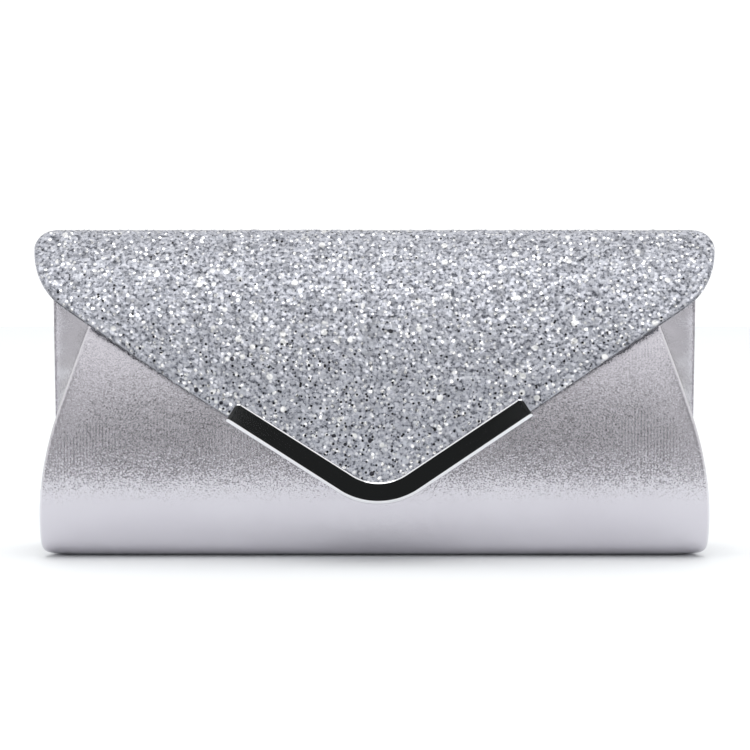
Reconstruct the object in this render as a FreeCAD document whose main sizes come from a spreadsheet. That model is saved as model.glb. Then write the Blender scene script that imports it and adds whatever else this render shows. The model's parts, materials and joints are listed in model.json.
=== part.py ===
import FreeCAD, Part
import Sketcher
import math
import os

# Evening bag: a soft envelope clutch. The glitter flap folds over the spine and closes on a magnetic
# snap at the front. +X is to the right, +Y to the back, +Z up; the bag stands on z = 0 and the origin
# is at the bottom centre of its box.

Vector = FreeCAD.Vector
document = FreeCAD.newDocument("EveningBag")
sheet = document.addObject("Spreadsheet::Sheet", "Dims")


class Size:
    """A length or angle: its number places geometry, its text binds it to the spreadsheet."""

    def __init__(self, value, text):
        self.value = value
        self.text = text

    def __add__(self, other):
        other = as_size(other)
        return Size(self.value + other.value, f"({self.text} + {other.text})")

    def __sub__(self, other):
        other = as_size(other)
        return Size(self.value - other.value, f"({self.text} - {other.text})")

    def __mul__(self, other):
        other = as_size(other)
        return Size(self.value * other.value, f"({self.text} * {other.text})")

    def __truediv__(self, other):
        other = as_size(other)
        return Size(self.value / other.value, f"({self.text} / {other.text})")

    def __neg__(self):
        return Size(-self.value, f"(-1 * {self.text})")


def as_size(value):
    return value if isinstance(value, Size) else Size(float(value), repr(float(value)))


def sine(angle):
    return Size(math.sin(math.radians(angle.value)), f"sin({angle.text} * 1 deg)")


def cosine(angle):
    return Size(math.cos(math.radians(angle.value)), f"cos({angle.text} * 1 deg)")


def root(square):
    return Size(math.sqrt(square.value), f"sqrt({square.text})")


def cell(name, value):
    """Put one driving dimension in the next row of the spreadsheet."""
    cell.row += 1
    sheet.set(f"A{cell.row}", name)
    sheet.set(f"B{cell.row}", str(value))
    sheet.setAlias(f"B{cell.row}", name)
    return Size(float(value), f"Dims.{name}")


cell.row = 0

# Whole bag.
body_half = cell("body_half", 125.2)
flap_half = cell("flap_half", 130)
back_face = cell("back_face", 25.3)

# Spine: the soft fold over the top, centred above the back panel.
spine_radius = cell("spine_radius", 9)
spine_height = cell("spine_height", 114.4)
spine_strip_bottom = cell("spine_strip_bottom", 97)
spine_strip_half = cell("spine_strip_half", 122)

# Flap side profile: a bow below the spine, then flat to the tip.
flap_bow = cell("flap_bow", 116)
flat_height = cell("flat_height", 60)
tip_lean = cell("tip_lean", 8.4)

# Flap seen from the front.
flap_slope = cell("flap_slope", 33)
flap_point = cell("flap_point", 19.5)
flap_corner = cell("flap_corner", 28.4)
flap_top_corner = cell("flap_top_corner", 6)
flap_tip_round = cell("flap_tip_round", 27)

# Front panel side profile: bow, belly, undercurve and bottom edge.
flap_clearance = cell("flap_clearance", 2.0)
belly_height = cell("belly_height", 33)
under_radius = cell("under_radius", 70)
under_angle = cell("under_angle", 22)
mouth_height = cell("mouth_height", 108)

# Front panel seen from the front: upright sides that lean in above the knee. Its turned edges reach
# past the gussets.
knee_height = cell("knee_height", 33)
side_lean = cell("side_lean", 18.5)
knee_radius = cell("knee_radius", 150)
bottom_corner = cell("bottom_corner", 2.5)
front_overhang = cell("front_overhang", 1.4)
cut_margin = cell("cut_margin", 1)
cut_reach = cell("cut_reach", 200)

# Layers.
skin = cell("skin", 0.8)
glitter = cell("glitter", 0.9)
board = cell("board", 1.0)
base_stiffener = cell("base_stiffener", 1.5)
lining = cell("lining", 0.5)
play = cell("play", 0.05)
back_fold = cell("back_fold", 4)
facing_depth = cell("facing_depth", 22)
board_inset = cell("board_inset", 1)
lining_inset = cell("lining_inset", 1.5)
facing_inset = cell("facing_inset", 4.5)
back_top_drop = cell("back_top_drop", 2)

# Side gussets: seam play, depth of each layer inside the panels' edges, and the heights of the ribs
# between which the side walls are ruled, with the knee's rounding.
gusset_seam = cell("gusset_seam", 0.3)
gusset_out = cell("gusset_out", 1.6)
gusset_in = cell("gusset_in", 2.4)
gusset_lining_out = cell("gusset_lining_out", 2.5)
gusset_lining_in = cell("gusset_lining_in", 3.1)
gusset_foot = cell("gusset_foot", 0.5)
gusset_low = cell("gusset_low", 16)
gusset_knee_in = cell("gusset_knee_in", 2.0)
gusset_middle = cell("gusset_middle", 46)
gusset_high = cell("gusset_high", 84)

# Trim: a bright channel over the flap's point.
trim_slope = cell("trim_slope", 33)
trim_point = cell("trim_point", 17.9)
trim_width = cell("trim_width", 8.4)
trim_span = cell("trim_span", 57)
trim_outer_round = cell("trim_outer_round", 28)
trim_inner_round = cell("trim_inner_round", 18)
trim_face = cell("trim_face", 1.1)
trim_flange = cell("trim_flange", 0.8)
trim_wall = cell("trim_wall", 1.2)
slot_reach = cell("slot_reach", 4)
screw_radius = cell("screw_radius", 1.0)
screw_near = cell("screw_near", 26)
screw_near_up = cell("screw_near_up", 21.5)
screw_far = cell("screw_far", 44)
screw_far_up = cell("screw_far_up", 33)

# Magnetic snap.
snap_height = cell("snap_height", 40)
snap_radius = cell("snap_radius", 7)
snap_plate = cell("snap_plate", 0.5)
snap_boss_radius = cell("snap_boss_radius", 3.4)
snap_boss = cell("snap_boss", 1.4)
snap_socket_depth = cell("snap_socket_depth", 1.4)
snap_socket_floor = cell("snap_socket_floor", 0.4)
snap_socket_wall = cell("snap_socket_wall", 0.4)
socket_lean = cell("socket_lean", 2.0)
snap_bore_radius = cell("snap_bore_radius", 3.8)
snap_neck_radius = cell("snap_neck_radius", 2.3)
washer_radius = cell("washer_radius", 5.5)
washer_depth = cell("washer_depth", 0.9)
magnet_radius = cell("magnet_radius", 6.3)
magnet_depth = cell("magnet_depth", 0.7)
hole_play = cell("hole_play", 0.2)

# Spine strip and its lining.
strip_shoulder = cell("strip_shoulder", 3)
spine_lining_inset = cell("spine_lining_inset", 6)

# Slip pocket on the back lining.
pocket_half = cell("pocket_half", 55)
pocket_bottom = cell("pocket_bottom", 20)
pocket_top = cell("pocket_top", 82)
binding_height = cell("binding_height", 8)

# Rings for a clip-on chain.
ring_reach = cell("ring_reach", 106)
ring_height = cell("ring_height", 99)
ring_half = cell("ring_half", 6)
ring_corner = cell("ring_corner", 1.6)
ring_side = cell("ring_side", 2)
wire_radius = cell("wire_radius", 0.8)
tab_half = cell("tab_half", 4)
tab_loop = cell("tab_loop", 1.9)
tab_bore = cell("tab_bore", 0.95)
tab_tail = cell("tab_tail", 11)
tab_thickness = cell("tab_thickness", 1.2)

document.recompute()

# Depths measured inwards from each outer face.
cover_in = glitter
flap_board_out = cover_in + play
flap_board_in = flap_board_out + board
flap_lining_out = flap_board_in + play
flap_lining_in = flap_lining_out + lining
skin_in = skin
board_out = skin_in + play
board_in = board_out + board
lining_out = board_in + play
lining_in = lining_out + lining
base_lining_out = board_out + base_stiffener + play
base_lining_in = base_lining_out + lining
panel_back = back_face - glitter - play
facing_face = panel_back - lining_in - play - lining

# Centres and radii of the side profile. The flap and the front panel bow about one centre.
spine_y = back_face - spine_radius
bow_z = flat_height - flap_bow * sine(tip_lean)
bow_to_spine = flap_bow - spine_radius
spine_rise = spine_height - bow_z
bow_y = spine_y + root(bow_to_spine * bow_to_spine - spine_rise * spine_rise)
front_bow = flap_bow - flap_lining_in - flap_clearance
bow_end_z = bow_z + front_bow * sine(tip_lean)
belly_radius = (bow_end_z - belly_height) / sine(tip_lean)
belly_y = bow_y - front_bow * cosine(tip_lean) + belly_radius * cosine(tip_lean)
under_y = belly_y - belly_radius + under_radius
under_end_z = belly_height - under_radius * sine(under_angle)
edge_radius = under_end_z / (as_size(1) - sine(under_angle))
edge_y = under_y - (under_radius - edge_radius) * cosine(under_angle)


def front_y(depth, height):
    """Y of the front panel's bow at a height, this deep inside its outer face."""
    radius = front_bow - depth
    rise = height - bow_z
    return bow_y - root(radius * radius - rise * rise)


def belly_front_y(depth, height):
    """The same between the bow's end and the belly."""
    radius = belly_radius - depth
    rise = height - belly_height
    return belly_y - root(radius * radius - rise * rise)


def under_front_y(depth, height):
    """The same below the belly."""
    radius = under_radius - depth
    rise = height - belly_height
    return under_y - root(radius * radius - rise * rise)


def edge_front_y(depth, height):
    """The same on the bottom edge's rounding."""
    radius = edge_radius - depth
    rise = height - edge_radius
    return edge_y - root(radius * radius - rise * rise)


def flap_y(depth, height):
    """Y of the flap's flat part."""
    bow_end = bow_y - flap_bow * cosine(tip_lean)
    slope = sine(tip_lean) / cosine(tip_lean)
    return bow_end - (flat_height - height) * slope + depth / cosine(tip_lean)


# ---------------------------------------------------------------- sketches and bodies


def make_body(name):
    body = document.addObject("PartDesign::Body", name)
    body.Label = name
    return body


def make_sketch(body, name, plane, offset=None):
    """A sketch on one of the body's origin planes, set off along the plane's normal."""
    sketch = body.newObject("Sketcher::SketchObject", f"{body.Name}_{name}")
    origin_plane = [item for item in body.Origin.OriginFeatures if item.Role == plane][0]
    sketch.AttachmentSupport = (origin_plane, [""])
    sketch.MapMode = "FlatFace"
    if offset is not None:
        sketch.AttachmentOffset = FreeCAD.Placement(Vector(0, 0, offset.value), FreeCAD.Rotation())
        sketch.setExpression("AttachmentOffset.Base.z", offset.text)
    return sketch


def bind(sketch, constraint, size):
    index = sketch.addConstraint(constraint)
    sketch.setExpression(f"Constraints[{index}]", size.text)


def add_outline(sketch, corners):
    """A closed outline. Each corner is (u, v) or (u, v, radius, centre): the last form makes the edge
    from that corner to the next one an arc about the centre."""
    points = [Vector(corner[0].value, corner[1].value, 0) for corner in corners]
    starts = []
    for index, corner in enumerate(corners):
        first = points[index]
        last = points[(index + 1) % len(points)]
        if len(corner) == 2:
            edge = sketch.addGeometry(Part.LineSegment(first, last))
        else:
            centre = Vector(corner[3][0].value, corner[3][1].value, 0)
            outwards = (first + last) * 0.5 - centre
            outwards.normalize()
            middle = centre + outwards * corner[2].value
            edge = sketch.addGeometry(Part.Arc(first, middle, last))
        begins = 1 if sketch.getPoint(edge, 1).distanceToPoint(first) < 1e-6 else 2
        starts.append((edge, begins))
    for index, (edge, begins) in enumerate(starts):
        follower, follower_begins = starts[(index + 1) % len(starts)]
        ends = 3 - begins
        sketch.addConstraint(Sketcher.Constraint("Coincident", edge, ends, follower, follower_begins))
    for (edge, begins), corner in zip(starts, corners):
        bind(sketch, Sketcher.Constraint("DistanceX", -1, 1, edge, begins, corner[0].value), corner[0])
        bind(sketch, Sketcher.Constraint("DistanceY", -1, 1, edge, begins, corner[1].value), corner[1])
        if len(corner) > 2:
            bind(sketch, Sketcher.Constraint("Radius", edge, corner[2].value), corner[2])


def add_circle(sketch, radius, across=0, up=0):
    """A circle of a bound radius, its centre at (across, up)."""
    across = as_size(across)
    up = as_size(up)
    edge = sketch.addGeometry(Part.Circle(Vector(across.value, up.value, 0), Vector(0, 0, 1), radius.value))
    bind(sketch, Sketcher.Constraint("Radius", edge, radius.value), radius)
    bind(sketch, Sketcher.Constraint("DistanceX", -1, 1, edge, 3, across.value), across)
    bind(sketch, Sketcher.Constraint("DistanceY", -1, 1, edge, 3, up.value), up)


def pad(body, sketch, length, symmetric=False):
    feature = body.newObject("PartDesign::Pad", f"{sketch.Name}_pad")
    feature.Profile = sketch
    feature.SideType = "Symmetric" if symmetric else "One side"
    feature.Length = length.value
    feature.setExpression("Length", length.text)
    return feature


def cut_through(body, sketch):
    """A pocket both ways through the whole body."""
    feature = body.newObject("PartDesign::Pocket", f"{sketch.Name}_pocket")
    feature.Profile = sketch
    feature.SideType = "Symmetric"
    feature.Type = "ThroughAll"
    return feature


def layer(name, profile, half_width):
    """A sheet of one thickness: its side profile, padded both ways from the middle."""
    body = make_body(name)
    sketch = make_sketch(body, "profile", "YZ_Plane")
    add_outline(sketch, profile)
    pad(body, sketch, half_width * 2, symmetric=True)
    return body


def trim_to(body, outline):
    """Cut away everything outside a front-view outline."""
    sketch = make_sketch(body, "outline", "XZ_Plane")
    far = cut_reach
    add_outline(sketch, [(-far, -far), (far, -far), (far, far), (-far, far)])
    add_outline(sketch, outline)
    cut_through(body, sketch)


def make_hole(body, radius, height):
    """A round hole from front to back on the middle line."""
    sketch = make_sketch(body, "hole", "XZ_Plane")
    add_circle(sketch, radius, 0, height)
    cut_through(body, sketch)


def place(item, across, depth, height, lean=None):
    """Put a piece at its place, leaning its top backwards about X."""
    across = as_size(across)
    rotation = FreeCAD.Rotation()
    if lean is not None:
        rotation = FreeCAD.Rotation(Vector(1, 0, 0), -lean.value)
    item.Placement = FreeCAD.Placement(Vector(across.value, depth.value, height.value), rotation)
    item.setExpression("Placement.Base.x", across.text)
    item.setExpression("Placement.Base.y", depth.text)
    item.setExpression("Placement.Base.z", height.text)


# ---------------------------------------------------------------- front panel and its layers


def front_profile(outer, inner, to_bottom=True):
    """Side profile of one front layer between two depths, from the mouth down to the base."""
    bow = (bow_y, bow_z)
    belly = (belly_y, belly_height)
    under = (under_y, belly_height)
    edge = (edge_y, edge_radius)

    def joints(depth):
        points = [
            (front_y(depth, mouth_height), mouth_height),
            (bow_y - (front_bow - depth) * cosine(tip_lean), bow_z + (front_bow - depth) * sine(tip_lean)),
            (belly_y - (belly_radius - depth), belly_height),
            (
                under_y - (under_radius - depth) * cosine(under_angle),
                belly_height - (under_radius - depth) * sine(under_angle),
            ),
        ]
        if to_bottom:
            points.append((edge_y, depth))
        return points

    down = joints(outer)
    up = joints(inner)
    arcs = [(front_bow, bow), (belly_radius, belly), (under_radius, under), (edge_radius, edge)]
    profile = []
    for point, (radius, centre) in zip(down[:-1], arcs):
        profile.append((*point, radius - outer, centre))
    profile.append(down[-1])
    arcs_up = list(reversed(arcs[: len(up) - 1]))
    for point, (radius, centre) in zip(reversed(up), arcs_up):
        profile.append((*point, radius - inner, centre))
    profile.append(up[0])
    return profile


def front_outline(inset):
    """Front view of a front layer: upright sides, rounded knees, sides leaning in to the mouth."""
    half = body_half - inset
    knee_run = knee_radius * (as_size(1) - cosine(side_lean)) / sine(side_lean)
    slope = sine(side_lean) / cosine(side_lean)
    knee_low = knee_height - knee_run
    knee_high = knee_height + knee_run * cosine(side_lean)
    knee_in = half - knee_run * sine(side_lean)
    top = mouth_height + cut_margin
    top_half = half - (top - knee_height) * slope
    bottom = -cut_margin
    corner_half = half - bottom_corner
    corner_top = bottom_corner
    return [
        (-corner_half, bottom),
        (corner_half, bottom),
        (corner_half, as_size(0), bottom_corner, (corner_half, corner_top)),
        (half, corner_top),
        (half, knee_low, knee_radius, (half - knee_radius, knee_low)),
        (knee_in, knee_high),
        (top_half, top),
        (-top_half, top),
        (-knee_in, knee_high, knee_radius, (knee_radius - half, knee_low)),
        (-half, knee_low),
        (-half, corner_top, bottom_corner, (-corner_half, corner_top)),
        (-corner_half, as_size(0)),
    ]


front_panel = layer("front_panel", front_profile(as_size(0), skin_in), body_half + front_overhang)
trim_to(front_panel, front_outline(-front_overhang))
make_hole(front_panel, snap_neck_radius + hole_play, snap_height)

front_board = layer("front_board", front_profile(board_out, board_in, to_bottom=False), body_half)
trim_to(front_board, front_outline(board_inset))
make_hole(front_board, washer_radius + hole_play, snap_height)

front_lining = layer("front_lining", front_profile(lining_out, lining_in), body_half)
trim_to(front_lining, front_outline(lining_inset))


def strip_profile(outer, inner, low, high):
    """Side profile of a strip on the front panel's bow, between two heights."""
    bow = (bow_y, bow_z)
    return [
        (front_y(outer, high), high, front_bow - outer, bow),
        (front_y(outer, low), low),
        (front_y(inner, low), low, front_bow - inner, bow),
        (front_y(inner, high), high),
    ]


facing_in = lining_in + play
facing_low = mouth_height - facing_depth
front_facing = layer(
    "front_facing",
    strip_profile(facing_in, facing_in + lining, facing_low, mouth_height),
    body_half,
)
trim_to(front_facing, front_outline(facing_inset))


# ---------------------------------------------------------------- back panel, base and pocket


def upright_profile(rear, thickness, low, high):
    """Side profile of an upright sheet: its rear face, thickness, bottom and top."""
    return [(rear, low), (rear, high), (rear - thickness, high), (rear - thickness, low)]


back_top = spine_height - back_top_drop
back_low = back_fold + play
layer("back_panel", upright_profile(panel_back, skin, back_low, back_top), body_half)
back_board_face = panel_back - board_out
back_board_profile = upright_profile(back_board_face, board, back_low, back_top)
layer("back_board", back_board_profile, body_half - board_inset)
back_lining_face = panel_back - lining_out
back_lining_profile = upright_profile(back_lining_face, lining, back_low, back_top)
layer("back_lining", back_lining_profile, body_half - lining_inset)
back_facing_profile = upright_profile(facing_face + lining, lining, facing_low, back_top)
layer("back_facing", back_facing_profile, body_half - facing_inset)


def base_profile(outer, inner):
    """Side profile of a base layer that turns up at the back."""
    front = edge_y + play
    turn_y = panel_back - back_fold
    turn = (turn_y, back_fold)
    return [
        (front, outer),
        (turn_y, outer, back_fold - outer, turn),
        (panel_back - outer, back_fold),
        (panel_back - inner, back_fold, back_fold - inner, turn),
        (turn_y, inner),
        (front, inner),
    ]


base_panel = layer("base_panel", base_profile(as_size(0), skin_in), body_half - bottom_corner)
base_front = edge_y + play
base_back = panel_back - back_fold
layer(
    "base_board",
    [
        (base_front, board_out),
        (base_back, board_out),
        (base_back, board_out + base_stiffener),
        (base_front, board_out + base_stiffener),
    ],
    body_half - bottom_corner,
)
layer(
    "base_lining",
    [
        (base_front, base_lining_out),
        (base_back, base_lining_out),
        (base_back, base_lining_in),
        (base_front, base_lining_in),
    ],
    body_half - bottom_corner,
)

layer(
    "slip_pocket",
    upright_profile(back_lining_face - lining - play, lining, pocket_bottom, pocket_top),
    pocket_half,
)
binding_face = back_lining_face - (lining + play) * 2
layer(
    "slip_pocket_binding",
    upright_profile(binding_face, lining, pocket_top - binding_height, pocket_top),
    pocket_half,
)


# ---------------------------------------------------------------- side gussets


def gusset(name, side, seam_in, seam_out, depth):
    """A side wall between the front panel's edge and the back panel's edge. It stands square at the
    bottom and turns to face half forwards at the mouth, where the front panel is narrower."""
    slope = sine(side_lean) / cosine(side_lean)
    low = base_lining_in + gusset_foot
    top = mouth_height - cut_margin
    levels = [
        (low, edge_front_y(depth, low), as_size(0)),
        (under_end_z, under_front_y(depth, under_end_z), as_size(0)),
        (gusset_low, under_front_y(depth, gusset_low), as_size(0)),
        (knee_height, under_front_y(depth, knee_height), gusset_knee_in),
        (gusset_middle, belly_front_y(depth, gusset_middle), (gusset_middle - knee_height) * slope),
        (flat_height, front_y(depth, flat_height), (flat_height - knee_height) * slope),
        (gusset_high, front_y(depth, gusset_high), (gusset_high - knee_height) * slope),
        (top, front_y(depth, top), (top - knee_height) * slope),
    ]
    body = make_body(name)
    sections = []
    rear = facing_face - gusset_seam
    for number, (height, front, lean_in) in enumerate(levels):
        sketch = make_sketch(body, f"level{number}", "XY_Plane", height)
        corners = [
            (body_half - lean_in - seam_out, front + gusset_seam),
            (body_half - seam_out, rear),
            (body_half - seam_in, rear),
            (body_half - lean_in - seam_in, front + gusset_seam),
        ]
        add_outline(sketch, [(across * side, along) for across, along in corners])
        sections.append(sketch)
    feature = body.newObject("PartDesign::AdditiveLoft", f"{name}_loft")
    feature.Profile = sections[0]
    feature.Sections = sections[1:]
    feature.Ruled = True
    return body


for side_name, side in (("left", -1), ("right", 1)):
    gusset(f"gusset_{side_name}", side, gusset_in, gusset_out, facing_in + lining)
    gusset(f"gusset_lining_{side_name}", side, gusset_lining_in, gusset_lining_out, facing_in + lining)


# ---------------------------------------------------------------- flap and spine


def spine_point(depth):
    """Where the spine's arc meets the flap's bow."""
    share = (spine_radius - depth) / bow_to_spine
    return (spine_y - (bow_y - spine_y) * share, spine_height + spine_rise * share)


def bow_point(depth):
    """Where the flap's bow meets its flat part."""
    radius = flap_bow - depth
    return (bow_y - radius * cosine(tip_lean), bow_z + radius * sine(tip_lean))


def flap_profile(outer, inner):
    """Side profile of one flap layer from the spine to below the point."""
    bow = (bow_y, bow_z)
    low = flap_point - cut_margin
    return [
        (*spine_point(outer), flap_bow - outer, bow),
        bow_point(outer),
        (flap_y(outer, low), low),
        (flap_y(inner, low), low),
        (*bow_point(inner), flap_bow - inner, bow),
        spine_point(inner),
    ]


def spine_profile(outer, inner, low):
    """Side profile of a strip up the back and over the spine."""
    centre = (spine_y, spine_height)
    return [
        (back_face - outer, low),
        (back_face - outer, spine_height, spine_radius - outer, centre),
        spine_point(outer),
        (*spine_point(inner), spine_radius - inner, centre),
        (back_face - inner, spine_height),
        (back_face - inner, low),
    ]


def flap_outline(inset):
    """Front view of the flap: upright ends, rounded shoulders and a rounded V."""
    half = flap_half - inset
    slope = sine(flap_slope) / cosine(flap_slope)
    point = flap_point + inset / cosine(flap_slope)
    shoulder = flap_corner - inset
    shoulder_run = shoulder * (as_size(1) - sine(flap_slope)) / cosine(flap_slope)
    shoulder_z = point + half * slope
    shoulder_high = shoulder_z + shoulder_run
    shoulder_low_x = half - shoulder_run * cosine(flap_slope)
    shoulder_low_z = shoulder_z - shoulder_run * sine(flap_slope)
    tip = flap_tip_round - inset
    tip_x = tip * sine(flap_slope)
    tip_z = point + tip_x * slope
    tip_centre_z = tip_z + tip * cosine(flap_slope)
    top_corner_z = spine_height + spine_radius - flap_top_corner
    top = spine_height + spine_radius + cut_margin
    top_x = half - flap_top_corner
    tip_centre = (as_size(0), tip_centre_z)
    return [
        (-tip_x, tip_z, tip, tip_centre),
        (tip_x, tip_z),
        (shoulder_low_x, shoulder_low_z, shoulder, (half - shoulder, shoulder_high)),
        (half, shoulder_high),
        (half, top_corner_z, flap_top_corner, (top_x, top_corner_z)),
        (top_x, top_corner_z + flap_top_corner),
        (top_x, top),
        (-top_x, top),
        (-top_x, top_corner_z + flap_top_corner, flap_top_corner, (-top_x, top_corner_z)),
        (-half, top_corner_z),
        (-half, shoulder_high, shoulder, (shoulder - half, shoulder_high)),
        (-shoulder_low_x, shoulder_low_z),
    ]


def spine_outline(inset):
    """Back view of the strip: as wide as the flap over the spine, narrowing down the back panel."""
    half = flap_half - inset
    low_half = spine_strip_half - inset
    top_corner_z = spine_height + spine_radius - flap_top_corner
    top = spine_height + spine_radius + cut_margin
    top_x = half - flap_top_corner
    low = spine_strip_bottom - cut_margin
    shoulder_z = spine_height - strip_shoulder
    return [
        (-low_half, low),
        (low_half, low),
        (half, shoulder_z),
        (half, top_corner_z, flap_top_corner, (top_x, top_corner_z)),
        (top_x, top_corner_z + flap_top_corner),
        (top_x, top),
        (-top_x, top),
        (-top_x, top_corner_z + flap_top_corner, flap_top_corner, (-top_x, top_corner_z)),
        (-half, top_corner_z),
        (-half, shoulder_z),
    ]


flap_cover = layer("flap_cover", flap_profile(as_size(0), cover_in), flap_half)
trim_to(flap_cover, flap_outline(as_size(0)))

flap_board = layer("flap_board", flap_profile(flap_board_out, flap_board_in), flap_half)
trim_to(flap_board, flap_outline(board_inset))
make_hole(flap_board, washer_radius + hole_play, snap_height)

flap_lining = layer("flap_lining", flap_profile(flap_lining_out, flap_lining_in), flap_half)
trim_to(flap_lining, flap_outline(lining_inset))
make_hole(flap_lining, snap_neck_radius + hole_play, snap_height)

spine_cover = layer("spine_cover", spine_profile(as_size(0), cover_in, spine_strip_bottom), flap_half)
trim_to(spine_cover, spine_outline(as_size(0)))

spine_lining_low = back_top + play
spine_lining_profile = spine_profile(flap_lining_out, flap_lining_in, spine_lining_low)
spine_lining = layer("spine_lining", spine_lining_profile, flap_half)
trim_to(spine_lining, spine_outline(spine_lining_inset))


# ---------------------------------------------------------------- trim channel and its set screws
# The trim's own frame lies on the flap's outer face: X across, Z up the flap, -Y outwards. Its
# origin is on the middle line at the height of the trim's sharp point.


def trim_outline(inset_outer, past_inner):
    """A V band between its outer edge and its upper edge, with square-cut arm ends."""
    slope = sine(trim_slope) / cosine(trim_slope)
    outer_z = inset_outer / cosine(trim_slope)
    outer_round = trim_outer_round - inset_outer
    inner_z = (trim_width + past_inner) / cosine(trim_slope)
    inner_round = trim_inner_round
    outer_x = outer_round * sine(trim_slope)
    inner_x = inner_round * sine(trim_slope)
    end_x = trim_span - inset_outer * sine(trim_slope) + past_inner * cosine(trim_slope)
    end_z = outer_z + end_x * slope
    band = trim_width + past_inner - inset_outer
    top_x = end_x - band * sine(trim_slope)
    top_z = end_z + band * cosine(trim_slope)
    outer_centre = (as_size(0), outer_z + outer_round / cosine(trim_slope))
    inner_centre = (as_size(0), inner_z + inner_round / cosine(trim_slope))
    return [
        (-outer_x, outer_z + outer_x * slope, outer_round, outer_centre),
        (outer_x, outer_z + outer_x * slope),
        (end_x, end_z),
        (top_x, top_z),
        (inner_x, inner_z + inner_x * slope, inner_round, inner_centre),
        (-inner_x, inner_z + inner_x * slope),
        (-top_x, top_z),
        (-end_x, end_z),
    ]


def pocket(body, sketch, length):
    """A pocket of one length, against the sketch's normal."""
    feature = body.newObject("PartDesign::Pocket", f"{sketch.Name}_pocket")
    feature.Profile = sketch
    feature.SideType = "One side"
    feature.Length = length.value
    feature.setExpression("Length", length.text)
    return feature


channel = flap_lining_in + play * 2
screw_places = (
    (-screw_far, screw_far_up),
    (-screw_near, screw_near_up),
    (screw_near, screw_near_up),
    (screw_far, screw_far_up),
)

flap_trim = make_body("flap_trim")
rear_depth = channel - play + trim_flange
trim_sketch = make_sketch(flap_trim, "band", "XZ_Plane", -rear_depth)
add_outline(trim_sketch, trim_outline(as_size(0), as_size(0)))
pad(flap_trim, trim_sketch, rear_depth + play + trim_face)
slot_sketch = make_sketch(flap_trim, "slot", "XZ_Plane", play)
add_outline(slot_sketch, trim_outline(trim_wall, slot_reach))
pocket(flap_trim, slot_sketch, channel)
screw_sketch = make_sketch(flap_trim, "screw_holes", "XZ_Plane", -(channel - play * 2))
for across, up in screw_places:
    add_circle(screw_sketch, screw_radius + play, across, up)
pocket(flap_trim, screw_sketch, trim_flange * 2)
place(flap_trim, 0, flap_y(as_size(0), trim_point), trim_point, tip_lean)

trim_set_screws = make_body("trim_set_screws")
trim_set_screws.AllowCompound = True
screw_body_sketch = make_sketch(trim_set_screws, "shanks", "XZ_Plane", -rear_depth)
for across, up in screw_places:
    add_circle(screw_body_sketch, screw_radius, across, up)
pad(trim_set_screws, screw_body_sketch, trim_flange)
place(trim_set_screws, 0, flap_y(as_size(0), trim_point), trim_point, tip_lean)


# ---------------------------------------------------------------- magnetic snap
# Each half has its own frame on the face that it is fixed to, with -Y pointing out of the bag.


def disc(body, name, radius, start, length):
    """A round pad from start, measured outwards, of one length."""
    sketch = make_sketch(body, name, "XZ_Plane", start)
    add_circle(sketch, radius)
    return pad(body, sketch, length)


def round_pocket(body, name, radius, start, length):
    sketch = make_sketch(body, name, "XZ_Plane", start)
    add_circle(sketch, radius)
    return pocket(body, sketch, length)


snap_stud = make_body("snap_stud")
neck = lining + play * 2
disc(snap_stud, "neck", snap_neck_radius, as_size(0), neck)
disc(snap_stud, "plate", snap_radius, -snap_plate, snap_plate)
disc(snap_stud, "boss", snap_boss_radius, -(snap_plate + snap_boss), snap_boss + snap_plate / 2)
place(snap_stud, 0, flap_y(flap_lining_in + play, snap_height), snap_height, tip_lean)

snap_stud_washer = make_body("snap_stud_washer")
disc(snap_stud_washer, "disc", washer_radius, as_size(0), washer_depth)
place(snap_stud_washer, 0, flap_y(flap_board_in, snap_height), snap_height, tip_lean)

socket_face = belly_front_y(as_size(0), snap_height)
snap_socket = make_body("snap_socket")
disc(snap_socket, "shell", snap_radius, play, snap_socket_depth)
disc(snap_socket, "neck", snap_neck_radius, -(skin + play), skin + play * 3)
mouth_depth = snap_socket_depth - snap_socket_floor
round_pocket(snap_socket, "mouth", snap_bore_radius, play + snap_socket_depth, mouth_depth)

# The magnet is a ring closed inside the socket's shell, in a groove cut for it.
magnet_low = play + snap_socket_floor
magnet_bore = snap_bore_radius + snap_socket_wall
groove = make_sketch(snap_socket, "groove", "XZ_Plane", magnet_low + magnet_depth)
add_circle(groove, magnet_radius)
add_circle(groove, magnet_bore)
pocket(snap_socket, groove, magnet_depth)
place(snap_socket, 0, socket_face, snap_height, socket_lean)

snap_magnet = make_body("snap_magnet")
magnet_ring = make_sketch(snap_magnet, "ring", "XZ_Plane", magnet_low + play / 2)
add_circle(magnet_ring, magnet_radius - play)
add_circle(magnet_ring, magnet_bore + play)
pad(snap_magnet, magnet_ring, magnet_depth - play)
place(snap_magnet, 0, socket_face, snap_height, socket_lean)

snap_socket_washer = make_body("snap_socket_washer")
disc(snap_socket_washer, "disc", washer_radius, -(board_in - play), washer_depth)
place(snap_socket_washer, 0, socket_face, snap_height, socket_lean)


# ---------------------------------------------------------------- chain rings
# Each ring's frame is on the middle of its straight bar, which turns in the tab's loop.


def ring_path():
    """A D: straight bar at the top, rounded corners, short sides and a half circle below."""
    bar = ring_half - ring_corner
    side_end = -(ring_corner + ring_side)
    below = (as_size(0), side_end)
    return [
        (-bar, as_size(0)),
        (bar, as_size(0), ring_corner, (bar, -ring_corner)),
        (ring_half, -ring_corner),
        (ring_half, side_end, ring_half, below),
        (as_size(0), side_end - ring_half, ring_half, below),
        (-ring_half, side_end),
        (-ring_half, -ring_corner, ring_corner, (-bar, -ring_corner)),
    ]


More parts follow.
